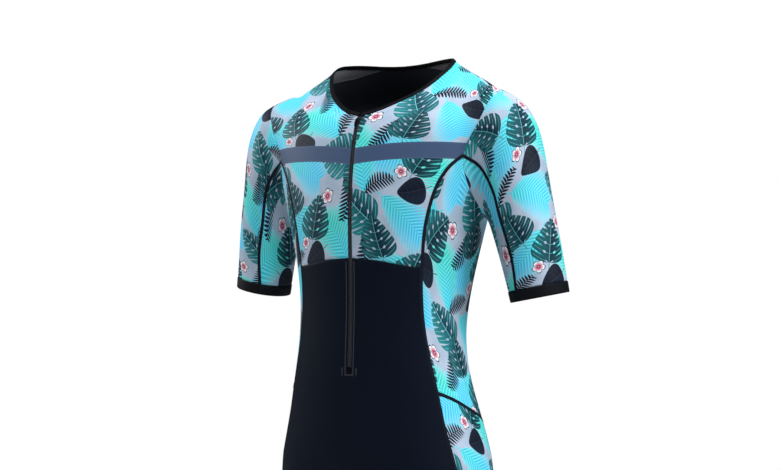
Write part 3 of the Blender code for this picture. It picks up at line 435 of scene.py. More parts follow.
def all_lines():
    """Every seam and guide line of the wearer's left half."""
    lines = {name: seam_line(name) for name in LINES}
    arm_steps = FINE * (LINES["arm_front"].steps + LINES["arm_back"].steps)
    under_steps = FINE * (LINES["under_front"].steps + LINES["under_back"].steps)
    front_steps = FINE * LINES["thigh_front"].steps
    back_steps = FINE * LINES["thigh_back"].steps
    side_steps = FINE * LINES["hip_seam"].steps
    lines["cuff_outer"] = loop_arc(CUFF_LOOP, CUFF_SEAM_FRONT, CUFF_SEAM_BACK, arm_steps)
    lines["cuff_inner"] = loop_arc(CUFF_LOOP, CUFF_SEAM_FRONT, CUFF_SEAM_BACK - 360, under_steps)
    lines["hem_front"] = loop_arc(HEM_LOOP, -INSEAM_TURN, HEM_SEAM_FRONT, front_steps)
    lines["hem_side"] = loop_arc(HEM_LOOP, HEM_SEAM_FRONT, HEM_SEAM_BACK, side_steps)
    lines["hem_back"] = loop_arc(HEM_LOOP, INSEAM_TURN, HEM_SEAM_BACK, back_steps)
    for name, start, end, steps in [
            ("sleeve_front", lines["under_front"][0], lines["cuff_outer"][0], SLEEVE_STEPS),
            ("sleeve_back", lines["under_back"][-1], lines["cuff_outer"][-1], SLEEVE_STEPS),
            ("inseam", lines["front_curve"][-1], lines["hem_front"][0], LEG_STEPS),
            ("front_leg_seam", lines["princess_thigh"][-1], lines["hem_side"][0], LEG_STEPS),
            ("back_leg_seam", lines["side_thigh"][-1], lines["hem_side"][-1], LEG_STEPS)]:
        lines[name] = limb_line(name, start, end, steps)
    return lines


def joined(lines, *names):
    """Several lines end to end; a name that starts with a minus sign is run backwards."""
    points = []
    for name in names:
        line = lines[name[1:]][::-1] if name.startswith("-") else lines[name]
        points.extend(line if not points else line[1:])
    return np.array(points)


def patch(top, bottom, left, right):
    """A grid of points between four lines; top and bottom run left to right, the sides down."""
    across = np.linspace(0, 1, len(top))[None, :, None]
    down = np.linspace(0, 1, len(left))[:, None, None]
    ruled = (1 - down) * top[None] + down * bottom[None]
    ruled = ruled + (1 - across) * left[:, None] + across * right[:, None]
    corners = (1 - down) * ((1 - across) * top[0] + across * top[-1])
    corners = corners + down * ((1 - across) * bottom[0] + across * bottom[-1])
    grid = ruled - corners
    grid[1:-1, 1:-1] = onto_figure(grid[1:-1, 1:-1])
    grid[0], grid[-1], grid[:, 0], grid[:, -1] = top, bottom, left, right
    return grid


def yoke_patches(lines):
    """The printed upper front: a part above the chest line and a part below it."""
    upper = patch(lines["shoulder"], lines["chest"], lines["neck_edge"][::-1],
                  lines["arm_front"][::-1])
    lower = patch(lines["chest"], lines["yoke_edge"], lines["centre_top"], lines["princess_bust"])
    return [upper, lower]


def front_patches(lines):
    """The black lower front: the body, the fork between the legs, and the leg."""
    body = patch(lines["yoke_edge"], lines["hip_front"],
                 joined(lines, "centre_zip", "slot_close", "centre_low"),
                 joined(lines, "princess_waist", "princess_hip"))
    crotch = patch(lines["hip_front"], lines["thigh_front"], lines["front_curve"], lines["princess_thigh"])
    leg = patch(lines["thigh_front"], lines["hem_front"], lines["inseam"], lines["front_leg_seam"])
    return [body, crotch, leg]


def back_patches(lines):
    """The back: above the shoulder blades, the body, the fork between the legs, and the leg."""
    nape = patch(joined(lines, "-neck_behind", "shoulder"), lines["blade"], lines["centre_nape"],
                 lines["arm_back"])
    body = patch(lines["blade"], lines["hip_back"], lines["centre_back"],
                 joined(lines, "side_body", "side_hip"))
    crotch = patch(lines["hip_back"], lines["thigh_back"], lines["back_curve"], lines["side_thigh"])
    leg = patch(lines["thigh_back"], lines["hem_back"], lines["inseam"], lines["back_leg_seam"])
    return [nape, body, crotch, leg]


def side_patches(lines):
    """The side, from the armpit to the slanting hip seam."""
    return [patch(joined(lines, "under_front", "under_back"), lines["hip_seam"],
                  joined(lines, "princess_bust", "princess_waist"), lines["side_body"])]


def leg_side_patches(lines):
    """The side of the leg, from the hip seam to the hem."""
    return [patch(lines["hip_seam"], lines["hem_side"],
                  joined(lines, "princess_hip", "princess_thigh", "front_leg_seam"),
                  joined(lines, "side_hip", "side_thigh", "back_leg_seam"))]


def sleeve_patches(lines):
    """The outer sleeve."""
    return [patch(joined(lines, "arm_front", "arm_back"), lines["cuff_outer"],
                  lines["sleeve_front"], lines["sleeve_back"])]


def underarm_patches(lines):
    """The under side of the sleeve."""
    return [patch(joined(lines, "under_front", "under_back"), lines["cuff_inner"],
                  lines["sleeve_front"], lines["sleeve_back"])]



# Cloth panels
ROLL_DEPTH = 0.0010
ROLL_WIDTH = 0.0014
EDGE_STEPS = (0.10, 0.28, 0.55)

# Folds pulled in the knit on one side only: a place on the skin, the way it runs, its
# length, its width and its depth; a ridge has a depth below zero
FOLDS = [
    Crease(0.168, -0.070, -0.205, 0.25, -0.10, -1.00, 0.060, 0.0075, 0.0016),
    Crease(0.150, -0.082, -0.250, 0.55, -0.10, -1.00, 0.055, 0.0070, -0.0009),
    Crease(-0.168, -0.070, -0.205, -0.25, -0.10, -1.00, 0.060, 0.0075, 0.0015),
]


def fold_depth(points):
    """How deep the one-sided folds press in."""
    depth = np.zeros(points.shape[:-1])
    for fold in FOLDS:
        offset = points - np.array([fold.x, fold.y, fold.z])
        run = np.array([fold.run_x, fold.run_y, fold.run_z])
        run = run / np.linalg.norm(run)
        along = offset @ run
        aside = np.linalg.norm(offset - along[..., None] * run, axis=-1)
        depth += fold.depth * np.exp(-(along / fold.length * 2) ** 2 - (aside / fold.width) ** 2)
    return depth


def raised(points, normals, out):
    """Points of the skin moved outwards by out, on top of the folds."""
    return points + (np.asarray(out) - fold_depth(points))[..., None] * normals


def stacked(patches):
    """Patches that follow each other downwards, as one grid."""
    return np.concatenate([patches[0]] + [grid[1:] for grid in patches[1:]])


def refined(grid):
    """A grid with more rows and columns close to its edges, where the cloth turns under."""
    for axis in (0, 1):
        last = grid.shape[axis] - 1
        places = [0, *EDGE_STEPS, *range(1, last), *(last - step for step in EDGE_STEPS[::-1]), last]
        places = np.array(places, dtype=float)
        low = np.minimum(places.astype(int), last - 1)
        share = (places - low).reshape((-1, 1, 1) if axis == 0 else (1, -1, 1))
        grid = np.take(grid, low, axis) * (1 - share) + np.take(grid, low + 1, axis) * share
    inner = grid[1:-1, 1:-1]
    grid[1:-1, 1:-1] = onto_figure(inner, rounds=4)
    return grid


def lengths(grid, axis):
    """Distances along a grid's rows or columns from their first point."""
    steps = np.linalg.norm(np.diff(grid, axis=axis), axis=-1)
    start = np.zeros_like(np.take(steps, [0], axis))
    return np.concatenate([start, np.cumsum(steps, axis)], axis)


def edge_roll(grid, open_sides):
    """How far the cloth turns under at the seams round a panel."""
    across, down = lengths(grid, 1), lengths(grid, 0)
    far_across, far_down = across[:, -1:] - across, down[-1:] - down
    inner_left = np.abs(grid[:, :1, 0]) < 1e-6
    roll = np.zeros(grid.shape[:2])
    for side, away in (("left", across), ("right", far_across), ("top", down), ("bottom", far_down)):
        if side in open_sides:
            continue
        turned = ROLL_DEPTH * np.exp(-(away / ROLL_WIDTH) ** 2)
        if side == "left":
            turned = np.where(inner_left, 0, turned)
        roll = np.maximum(roll, turned)
    return roll


def cloth_map(grid, spine):
    """Each point's place in the flat cloth, in metres: along its row from the spine, and up it."""
    across = lengths(grid, 1)
    column = int(round(spine * (grid.shape[1] - 1)))
    down = lengths(grid[:, column:column + 1], 0)
    return np.stack([across - across[:, column:column + 1], np.broadcast_to(-down, across.shape)], -1)


def band_map(points):
    """Where points of the upper front lie from the middle of the band across the chest."""
    aside = np.abs(points[..., 0])
    middle = BAND_HEIGHT - BAND_BOW * ((aside - BAND_CREST) / BAND_CREST) ** 2
    return np.stack([points[..., 0], points[..., 2] - middle], -1)


class Mesh:
    """Points, faces and two maps of a piece while it is built."""

    def __init__(self):
        self.points, self.faces, self.cloth, self.band, self.slots = [], [], [], [], []
        self.count = 0

    def add(self, points, faces, cloth=None, band=None, slot=0):
        points = np.asarray(points, dtype=float).reshape(-1, 3)
        flat = np.zeros((len(points), 2))
        self.faces += [tuple(int(corner) + self.count for corner in face) for face in faces]
        self.points.append(points)
        self.cloth.append(flat if cloth is None else np.asarray(cloth).reshape(-1, 2))
        self.band.append(flat + 1.0 if band is None else np.asarray(band).reshape(-1, 2))
        self.slots += [slot] * len(faces)
        self.count += len(points)

    def object(self, name, materials, smooth=True, sharp=None):
        points = np.concatenate(self.points)
        mesh = bpy.data.meshes.new(name)
        mesh.from_pydata(points.tolist(), [], self.faces)
        corners = np.array([corner for face in self.faces for corner in face])
        for layer, values in (("cloth", self.cloth), ("band", self.band)):
            made = mesh.uv_layers.new(name=layer)
            made.data.foreach_set("uv", np.concatenate(values)[corners].ravel())
        mesh.polygons.foreach_set("material_index", self.slots)
        for item in materials:
            mesh.materials.append(item)
        if smooth:
            mesh.shade_smooth()
            if sharp:
                mesh.set_sharp_from_angle(angle=math.radians(sharp))
        mesh.update()
        made = bpy.data.objects.new(name, mesh)
        bpy.context.scene.collection.objects.link(made)
        return made


def grid_faces(rows, columns, start=0, flip=False):
    """Quads of a grid of points numbered row by row."""
    index = np.arange(rows * columns).reshape(rows, columns) + start
    quads = np.stack([index[:-1, :-1], index[1:, :-1], index[1:, 1:], index[:-1, 1:]], -1).reshape(-1, 4)
    return quads[:, ::-1] if flip else quads


def welded(points, faces, *maps):
    """Merge points that coincide, and drop the faces that this closes up."""
    keys = {}
    order = np.zeros(len(points), dtype=int)
    kept = []
    for i, point in enumerate(np.round(points, 6)):
        key = tuple(point)
        if key not in keys:
            keys[key] = len(kept)
            kept.append(i)
        order[i] = keys[key]
    new_faces = []
    for face in faces:
        ring = []
        for corner in order[list(face)]:
            if corner not in ring:
                ring.append(corner)
        if len(ring) > 2:
            new_faces.append(tuple(ring))
    return [points[kept], new_faces, *[values[kept] for values in maps]]


def border(faces):
    """The edges that belong to one face only, in its direction."""
    edges = set()
    for face in faces:
        for a, b in zip(face, face[1:] + face[:1]):
            edges.add((a, b))
    return [edge for edge in edges if (edge[1], edge[0]) not in edges]


def shell(name, grids, materials, open_sides=(), spine=0.5, shift=(0.0, 0.0), mirror=False, both=False):
    """A thin closed shell of cloth: its face shows the first material, its back the second."""
    parts = []
    for grid in grids:
        grid = refined(grid)
        roll = edge_roll(grid, open_sides)
        flat = cloth_map(grid, spine)
        halves = [(1, False)] if not (mirror or both) else [(-1, True)] if mirror else [(1, False), (-1, True)]
        for sign, flip in halves:
            placed = grid * np.array([sign, 1.0, 1.0])
            folded = flat * np.array([sign, 1.0]) + np.array(shift)
            parts.append((placed, roll, folded, flip))
    points = np.concatenate([part[0].reshape(-1, 3) for part in parts])
    roll = np.concatenate([part[1].ravel() for part in parts])
    flat = np.concatenate([part[2].reshape(-1, 2) for part in parts])
    faces, start = [], 0
    for placed, _, _, flip in parts:
        faces += [tuple(face) for face in grid_faces(*placed.shape[:2], start, flip).tolist()]
        start += placed.shape[0] * placed.shape[1]
    points, faces, roll, flat = welded(points, faces, roll, flat)
    normals = outwards(points)
    a, b, c = (points[[face[k] for face in faces]] for k in range(3))
    facing = (np.cross(b - a, c - a) * normals[[face[0] for face in faces]]).sum()
    if facing < 0:
        faces = [face[::-1] for face in faces]
    outer = raised(points, normals, -roll)
    inner = raised(points, normals, -roll - SHELL)
    count = len(points)
    band = band_map(points)
    made = Mesh()
    made.add(np.concatenate([outer, inner]), faces, np.concatenate([flat, flat]), np.concatenate([band, band]))
    backs = [tuple(corner + count for corner in face[::-1]) for face in faces]
    made.faces += backs
    made.slots += [1] * len(backs)
    rims = [(b, a, a + count, b + count) for a, b in border(faces)]
    made.faces += [tuple(int(corner) for corner in face) for face in rims]
    made.slots += [0] * len(rims)
    return made.object(name, materials)

# Seams, stitches and bindings
SEAM_HALF = 0.0027
SEAM_HEIGHT = 0.00040
STITCH_LENGTH = 0.0024
STITCH_GAP = 0.0006
THREAD = 0.00022
STITCH_RING = 5
SEAM_ROW = 0.0017
SEWN_SEAMS = (("princess_bust", "princess_waist", "princess_hip", "princess_thigh", "front_leg_seam"),
              ("sleeve_front",), ("hip_seam",))
ZIP_ROW = 0.0072
ZIP_TICK = 0.0127
ZIP_ROW_END = 0.0064
ZIP_BAR_DROP = 0.0048
ZIP_ROW_HALF = 0.0008
ZIP_ROW_HEIGHT = 0.00030


def resampled(path, spacing):
    """A path at even distances close to a spacing."""
    total = lengths(path[None], 1)[0, -1]
    return even_steps(path, max(1, int(round(total / spacing))))


def side_of(path, normals):
    """The direction across a path, within the skin."""
    across = np.cross(np.gradient(path, axis=0), normals)
    return across / np.linalg.norm(across, axis=1, keepdims=True)


def aside(path, distance):
    """A path moved across the skin by a distance, to its right seen from outside."""
    normals = outwards(path)
    return onto_figure(path + distance * side_of(path, normals), rounds=3)


def bar(made, path, normals, sides, profile, closed=False, slot=0):
    """A bar along a path; the profile's points are (along the side, outwards)."""
    profile = np.array(profile)
    rings = path[:, None] + profile[:, 0][None, :, None] * sides[:, None]
    rings = rings + profile[:, 1][None, :, None] * normals[:, None]
    count, rows = len(profile), len(path)
    along = lengths(path[None], 1)[0]
    edge = lengths(np.concatenate([profile, profile[:1]])[None], 1)[0][:-1]
    flat = np.stack(np.broadcast_arrays(edge[None], along[:, None]), -1)
    faces = []
    for row in range(rows if closed else rows - 1):
        this, after = row * count, (row + 1) % rows * count
        faces += [(this + k, this + (k + 1) % count, after + (k + 1) % count, after + k)
                  for k in range(count)]
    if not closed:
        faces += [tuple(range(count))[::-1], tuple(range((rows - 1) * count, rows * count))]
    made.add(rings, faces, flat, slot=slot)


def turned_out(piece):
    """Make a closed piece's faces look outwards."""
    mesh = bmesh.new()
    mesh.from_mesh(piece.data)
    bmesh.ops.recalc_face_normals(mesh, faces=mesh.faces[:])
    mesh.to_mesh(piece.data)
    mesh.free()
    return piece


def tape_profile(half, height, sink=0.0006, steps=8):
    """The section of a flat strip with rounded shoulders, part of it sunk in the cloth."""
    spots = np.linspace(-1, 1, steps + 1)
    top = [(half * spot, height * (1 - abs(spot) ** 5)) for spot in spots]
    return [(-half, -sink)] + top + [(half, -sink)]


def seam_tape(made, path, half=SEAM_HALF, height=SEAM_HEIGHT, sign=1):
    """A flat seam that lies on the cloth along a path."""
    path = resampled(path, 0.003)
    path = onto_figure(path, rounds=3) * np.array([sign, 1.0, 1.0])
    normals = outwards(path)
    bar(made, raised(path, normals, 0.0), normals, side_of(path, normals), tape_profile(half, height))


def thread_row(made, path, normals, way=1.0, zigzag=0.0):
    """A row of raised stitches on a path with two steps for each stitch."""
    middle, run = path[1::2], path[2::2] - path[:-2:2]
    normal = normals[1::2] * way
    normal = normal / np.linalg.norm(normal, axis=1, keepdims=True)
    side = np.cross(run, normal)
    side = side / np.linalg.norm(side, axis=1, keepdims=True)
    stations = np.array([-0.5, -0.3, 0.0, 0.3, 0.5]) * STITCH_LENGTH / (STITCH_LENGTH + STITCH_GAP)
    bow = np.array([-0.8, 0.5, 0.9, 0.5, -0.8]) * THREAD
    thick = np.array([0.5, 1.0, 1.0, 1.0, 0.5]) * THREAD
    lean = (np.arange(len(middle)) % 2 * 2 - 1)[:, None] * 2 * stations[None] * zigzag
    spots = middle[:, None] + stations[None, :, None] * run[:, None]
    spots = spots + bow[None, :, None] * normal[:, None] + lean[..., None] * side[:, None]
    turns = np.linspace(0, 2 * math.pi, STITCH_RING, endpoint=False)
    across, up = thick[:, None] * np.cos(turns), thick[:, None] * np.sin(turns)
    rings = spots[:, :, None] + across[None, ..., None] * side[:, None, None]
    rings = rings + up[None, ..., None] * normal[:, None, None]
    size = len(stations) * STITCH_RING
    one = [tuple(range(STITCH_RING))[::-1], tuple(range(size - STITCH_RING, size))]
    for row in range(0, size - STITCH_RING, STITCH_RING):
        for k in range(STITCH_RING):
            after = (k + 1) % STITCH_RING
            one.append((row + k, row + after, row + STITCH_RING + after, row + STITCH_RING + k))
    made.add(rings, [tuple(corner + i * size for corner in face) for i in range(len(middle)) for face in one])


def stitches(made, path, height, sign=1, zigzag=0.0):
    """A row of raised stitches on the cloth, at a height above it."""
    count = max(2, int(lengths(path[None], 1)[0, -1] / (STITCH_LENGTH + STITCH_GAP)))
    path = onto_figure(even_steps(path, 2 * count), rounds=2) * np.array([sign, 1.0, 1.0])
    normals = outwards(path)
    thread_row(made, raised(path, normals, height), normals, 1.0, zigzag)


def loop_path(loop, drop, steps):
    """A closed loop of points round a limb, at a distance below its edge."""
    return loop_arc(loop, 0.0, 360.0, steps, drop)[:-1]


def limb_band(name, loop, width, material, sign):
    """A folded elastic band round the end of a limb."""
    face, back, fold = 0.0007, -0.0012, 0.0012
    section = [(0.0000, -0.0004), (0.0003, 0.0003), (0.0012, face), (width * 0.3, face + 0.0001),
               (width * 0.7, face + 0.0001), (width - fold, face), (width - fold / 3, face * 0.4),
               (width, (face + back) / 2), (width - fold / 3, back), (width - fold, back),
               (width * 0.5, back), (0.0004, back)]
    steps = 180
    rings, normals = [], []
    for drop, out in section:
        ring = loop_path(loop, drop, steps) * np.array([sign, 1.0, 1.0])
        rings.append(raised(ring, outwards(ring), out))
    rings = np.array(rings)
    count = len(section)
    round_way = lengths(rings[:, list(range(steps)) + [0]], 1)[:, :-1]
    drops = np.array([drop for drop, _ in section])
    flat = np.stack([round_way, np.broadcast_to(drops[:, None], round_way.shape)], -1)
    faces = []
    for k in range(count):
        for i in range(steps):
            j, m = (i + 1) % steps, (k + 1) % count
            faces.append((k * steps + i, k * steps + j, m * steps + j, m * steps + i))
    made = Mesh()
    made.add(rings, faces, flat)
    piece = turned_out(made.object(name, [material], sharp=60))
    return piece


def resampled_like(values, path, row):
    """Values known along one path, read at the same shares of another."""
    have, want = np.linspace(0, 1, len(path)), np.linspace(0, 1, len(row))
    return np.stack([np.interp(want, have, values[:, axis]) for axis in range(3)], 1)


def neck_path(lines):
    """The edge of the neck, from one side of the zip round to the other."""
    left = joined(lines, "neck_edge", "neck_behind")
    return np.concatenate([left, mirrored(left)[::-1][1:]])


def mirrored(points):
    return points * np.array([-1.0, 1.0, 1.0])


def neck_frame(lines, spacing=0.0035):
    """The neck's edge in even steps, with its outward and upward directions."""
    path = onto_figure(resampled(neck_path(lines), spacing), rounds=3)
    normals = outwards(path)
    rises = -side_of(path, normals)
    rises = rises * np.sign(rises[0, 2])
    return path, normals, rises


def add_collar(lines, material, thread):
    """The folded binding round the neck and its row of stitches."""
    path, normals, rises = neck_frame(lines)
    low, high = -0.0002, SEAM_GAP / 2 + COLLAR_WIDTH
    face, back = 0.0007, -0.0017
    profile = [(low, -0.0006), (low + 0.0003, face * 0.8), (low + 0.0012, face),
               (low + 0.0018, face * 0.72), (low + 0.0026, face * 1.05), (high - 0.0022, face * 1.1),
               (high - 0.0008, face * 0.7), (high - 0.0001, 0.1 * face), (high, -0.0004), (high - 0.0003, -0.0011),
               (high - 0.0012, back * 0.95), (high - 0.0030, back), (low + 0.0020, back), (low, back * 0.8)]
    made = Mesh()
    bar(made, path, normals, rises, profile)
    collar = turned_out(made.object("collar_binding", [material], sharp=60))
    sewn = Mesh()
    for rise, out in ((0.0016, face * 0.72), (0.0016, back * 1.0)):
        row = path + rise * rises
        count = int(lengths(row[None], 1)[0, -1] / (STITCH_LENGTH + STITCH_GAP))
        row = even_steps(row + out * normals, 2 * count)
        thread_row(sewn, row, resampled_like(normals, path, row), np.sign(out))
    stitched = turned_out(sewn.object("collar_stitches", [thread]))
    return collar, stitched

# Zip
TOOTH_PITCH = 0.0014
TOOTH_REACH = 0.00265
TOOTH_HALF = 0.00052
TOOTH_THICK = 0.0011
TAPE_WIDTH = 0.011
TAPE_THICK = 0.0006
PANEL_WALL = 0.0012
PULL_LEAN = math.radians(6)


def centre_line(lines, spacing=0.002):
    """The middle of the zip on the skin, from the top down, with the outward direction."""
    path = joined(lines, "centre_top", "centre_zip")
    path[:, 0] = 0.0
    path = onto_figure(resampled(path, spacing), rounds=3)
    path[:, 0] = 0.0
    return path, outwards(path)


def add_zip_tapes(lines, material):
    """The two woven tapes behind the panels."""
    path, normals = centre_line(lines, 0.004)
    pieces = []
    for sign, side in ((1, "left"), (-1, "right")):
        outer = -PANEL_WALL - SEAM_GAP
        spots = [0.0006, 0.0035, 0.0065, 0.0095, 0.0118]
        columns = []
        for spot in spots:
            column = path + np.array([sign * spot, 0.0, 0.0])
            columns.append(onto_figure(column, rounds=5))
        grid = np.stack(columns, 1)
        outward = outwards(grid)
        rows, count = grid.shape[:2]
        flat = np.stack(np.broadcast_arrays(np.array(spots)[None], lengths(path[None], 1)[0][:, None]), -1)
        made = Mesh()
        front = raised(grid, outward, outer).reshape(-1, 3)
        back = raised(grid, outward, outer - TAPE_THICK).reshape(-1, 3)
        faces = [tuple(face) for face in grid_faces(rows, count).tolist()]
        total = rows * count
        backs = [tuple(corner + total for corner in face[::-1]) for face in faces]
        rims = [(b, a, a + total, b + total) for a, b in border(faces)]
        made.add(np.concatenate([front, back]), faces + backs + rims, np.concatenate([flat.reshape(-1, 2)] * 2))
        piece = turned_out(made.object("zip_tape_cloth_" + side, [material]))
        pieces.append(piece)
    return pieces


def tooth_shape():
    """One tooth of the coil: a rounded bar from its tape over the middle of the chain."""
    section = [(-1.0, -0.55), (-0.55, -1.0), (0.55, -1.0), (1.0, -0.55), (1.0, 0.55), (0.55, 1.0),
               (-0.55, 1.0), (-1.0, 0.55)]
    rings = []
    for across, size, lift in ((-0.0006, 0.45, 0.0), (-0.0002, 0.9, 0.0), (0.0008, 1.0, 0.00006),
                               (0.0021, 0.92, 0.0), (TOOTH_REACH, 0.75, -0.0001), (0.0030, 0.3, -0.0002)):
        rings.append([(across, along * TOOTH_HALF * size, out * TOOTH_THICK / 2 * size + lift)
                      for along, out in section])
    count = len(section)
    faces = [tuple(range(count))[::-1], tuple(range((len(rings) - 1) * count, len(rings) * count))]
    for row in range(len(rings) - 1):
        for k in range(count):
            after = (k + 1) % count
            faces.append((row * count + k, row * count + after, (row + 1) * count + after, (row + 1) * count + k))
    return np.array(rings).reshape(-1, 3), faces


def add_teeth(lines, material):
    """The closed chain: teeth from both sides, one after the other down the zip."""
    path, _ = centre_line(lines)
    total = lengths(path[None], 1)[0, -1]
    count = int((total - 0.006) / TOOTH_PITCH)
    stations = even_steps(path, int(total / TOOTH_PITCH * 2))[:2 * count]
    stations[:, 0] = 0.0
    normals = outwards(stations)
    along = np.gradient(stations, axis=0)
    along = along / np.linalg.norm(along, axis=1, keepdims=True)
    shape, faces = tooth_shape()
    made = Mesh()
    depth = -0.0003 - TOOTH_THICK / 2
    for i in range(2, 2 * count):
        sign = 1.0 if i % 2 else -1.0
        across = np.array([sign, 0.0, 0.0])
        place = raised(stations[i:i + 1], normals[i:i + 1], depth)[0] + 0.0029 * across
        spots = place - shape[:, :1] * across + shape[:, 1:2] * along[i] + shape[:, 2:] * normals[i]
        made.add(spots, faces)
    return turned_out(made.object("zip_teeth", [material], sharp=50))


def slider_frame():
    """The slider's place on the skin, and its across, up and outward directions."""
    start = np.array([[0.0, float(spline_read(TRUNK, "front", np.array(SLIDER_HEIGHT))), SLIDER_HEIGHT]])
    place = onto_figure(start)
    normal = outwards(place)[0]
    across = np.array([1.0, 0.0, 0.0])
    upward = np.cross(normal, across)
    return place[0], across, upward / np.linalg.norm(upward), normal


def plate(outline, thick, bevel, holes=()):
    """A flat shape with soft edges, in its own axes, from the level 0 up."""
    mesh = bmesh.new()
    for ring in (outline, *holes):
        corners = [mesh.verts.new((x, y, 0.0)) for x, y in ring]
        for i, corner in enumerate(corners):
            mesh.edges.new((corner, corners[(i + 1) % len(corners)]))
    bmesh.ops.triangle_fill(mesh, use_beauty=True, use_dissolve=True, edges=mesh.edges[:])
    lifted = bmesh.ops.extrude_face_region(mesh, geom=mesh.faces[:])
    bmesh.ops.translate(mesh, vec=(0, 0, thick),
                        verts=[item for item in lifted["geom"] if isinstance(item, bmesh.types.BMVert)])
    bmesh.ops.recalc_face_normals(mesh, faces=mesh.faces[:])
    sharp = [edge for edge in mesh.edges if edge.calc_face_angle(0.0) > math.radians(50)]
    bmesh.ops.bevel(mesh, geom=sharp, offset=bevel, segments=3, profile=0.6, affect="EDGES",
                    clamp_overlap=True)
    mesh.verts.index_update()
    points = np.array([tuple(vert.co) for vert in mesh.verts])
    faces = [tuple(vert.index for vert in face.verts) for face in mesh.faces]
    mesh.free()
    return points, faces


def round_corners(corners, radius, steps=4):
    """A closed outline with its corners rounded off."""
    ring = []
    for i, corner in enumerate(corners):
        corner = np.array(corner, dtype=float)
        before, after = np.array(corners[i - 1], dtype=float), np.array(corners[(i + 1) % len(corners)], dtype=float)
        cut = min(radius, np.linalg.norm(before - corner) / 2.2, np.linalg.norm(after - corner) / 2.2)
        start = corner + (before - corner) / np.linalg.norm(before - corner) * cut
        end = corner + (after - corner) / np.linalg.norm(after - corner) * cut
        for t in np.linspace(0, 1, steps + 1):
            ring.append(tuple((1 - t) ** 2 * start + 2 * t * (1 - t) * corner + t * t * end))
    return ring


def placed(points, lean=0.0, pivot=0.0):
    """Points in the slider's axes, leant about its pivot, as points of the suit."""
    place, across, upward, normal = slider_frame()
    along = points[:, 1] * math.cos(lean) - points[:, 2] * math.sin(lean)
    out = points[:, 1] * math.sin(lean) + points[:, 2] * math.cos(lean) + pivot
    return place + points[:, :1] * across + along[:, None] * upward + out[:, None] * normal


def add_slider(material):
    """The slider: a shield-shaped plate with a raised arch for the pull."""
    made = Mesh()
    outline = round_corners([(-0.0021, 0.0048), (0.0021, 0.0048), (0.0042, 0.0030), (0.0041, -0.0008),
                             (0.0026, -0.0048), (-0.0026, -0.0048), (-0.0041, -0.0008), (-0.0042, 0.0030)], 0.0012)
    points, faces = plate(outline, 0.0020, 0.0004)
    points[:, 2] += 0.0003
    made.add(placed(points), faces)
    turns = np.linspace(0, math.pi, 13)
    top = 0.0020
    reach, rise, half = 0.00285, 0.0029, 0.0008
    path = [(0.0, reach * math.cos(turn), top + rise * math.sin(turn) ** 0.7) for turn in turns]
    section = [(math.cos(turn), math.sin(turn)) for turn in np.linspace(0, 2 * math.pi, 10, endpoint=False)]
    spots, ring_faces, count = [], [], 10
    for i, (x, y, z) in enumerate(path):
        before, after = path[max(i - 1, 0)], path[min(i + 1, len(path) - 1)]
        run = np.array([0.0, after[1] - before[1], after[2] - before[2]])
        run = run / np.linalg.norm(run)
        out = np.array([0.0, run[2], -run[1]])
        for wide, thick in section:
            spots.append(np.array([half * wide, y, z]) + 0.00045 * thick * out)
    for i in range(len(path) - 1):
        for k in range(count):
            after = (k + 1) % count
            ring_faces.append((i * count + k, i * count + after, (i + 1) * count + after, (i + 1) * count + k))
    ring_faces += [tuple(range(count))[::-1], tuple(range((len(path) - 1) * count, len(path) * count))]
    made.add(placed(np.array(spots)), ring_faces)
    return turned_out(made.object("zip_slider_body", [material], sharp=50))


def add_pull(material):
    """The pull tab: an eye round the arch and a tapered tab with a pressed grip."""
    half, eye, eye_end, length, tip, bar_half = 0.0031, 0.0017, 0.0048, 0.0140, 0.0022, 0.0006
    outline = [(half, bar_half), (half, -eye_end - 0.001)]
    turns = np.linspace(0, -math.pi, 11)
    outline += [(tip * math.cos(turn), -length + tip + tip * math.sin(turn)) for turn in turns]
    outline += [(-half, -eye_end - 0.001), (-half, bar_half)]
    hole = round_corners([(-eye, -bar_half), (-eye, -eye_end), (eye, -eye_end), (eye, -bar_half)], 0.0006, 3)
    points, faces = plate(outline, 2 * bar_half, 0.00022, [hole])
    points[:, 2] -= bar_half
    made = Mesh()
    pivot = 0.0003 + 0.0020 + 0.0014
    made.add(placed(points, PULL_LEAN, pivot), faces)
    for row in np.arange(-0.0070, -0.0118, -0.0012):
        ridge = [(-0.0016, row - 0.0002), (0.0016, row - 0.0002), (0.0016, row + 0.0002), (-0.0016, row + 0.0002)]
        points, faces = plate(round_corners(ridge, 0.00018, 2), 0.0003, 0.00008)
        points[:, 2] += bar_half - 0.0001
        made.add(placed(points, PULL_LEAN, pivot), faces)
    return turned_out(made.object("zip_pull_tab", [material], sharp=50))


def add_stop(lines, material):
    """The small metal stop at the foot of the zip."""
    path, normals = centre_line(lines)
    place, normal = path[-1], normals[-1]
    downward = path[-1] - path[-3]
    downward = downward / np.linalg.norm(downward)
    points, faces = plate(round_corners([(-0.0022, 0.0), (0.0022, 0.0), (0.0022, 0.0045), (-0.0022, 0.0045)],
                                        0.0006), 0.0018, 0.0004)
    spots = place + points[:, :1] * np.array([1.0, 0, 0]) - points[:, 1:2] * downward
    spots = spots + (points[:, 2:] - 0.0018) * normal
    made = Mesh()
    made.add(spots, faces)
    return turned_out(made.object("zip_stop_block", [material], sharp=50))

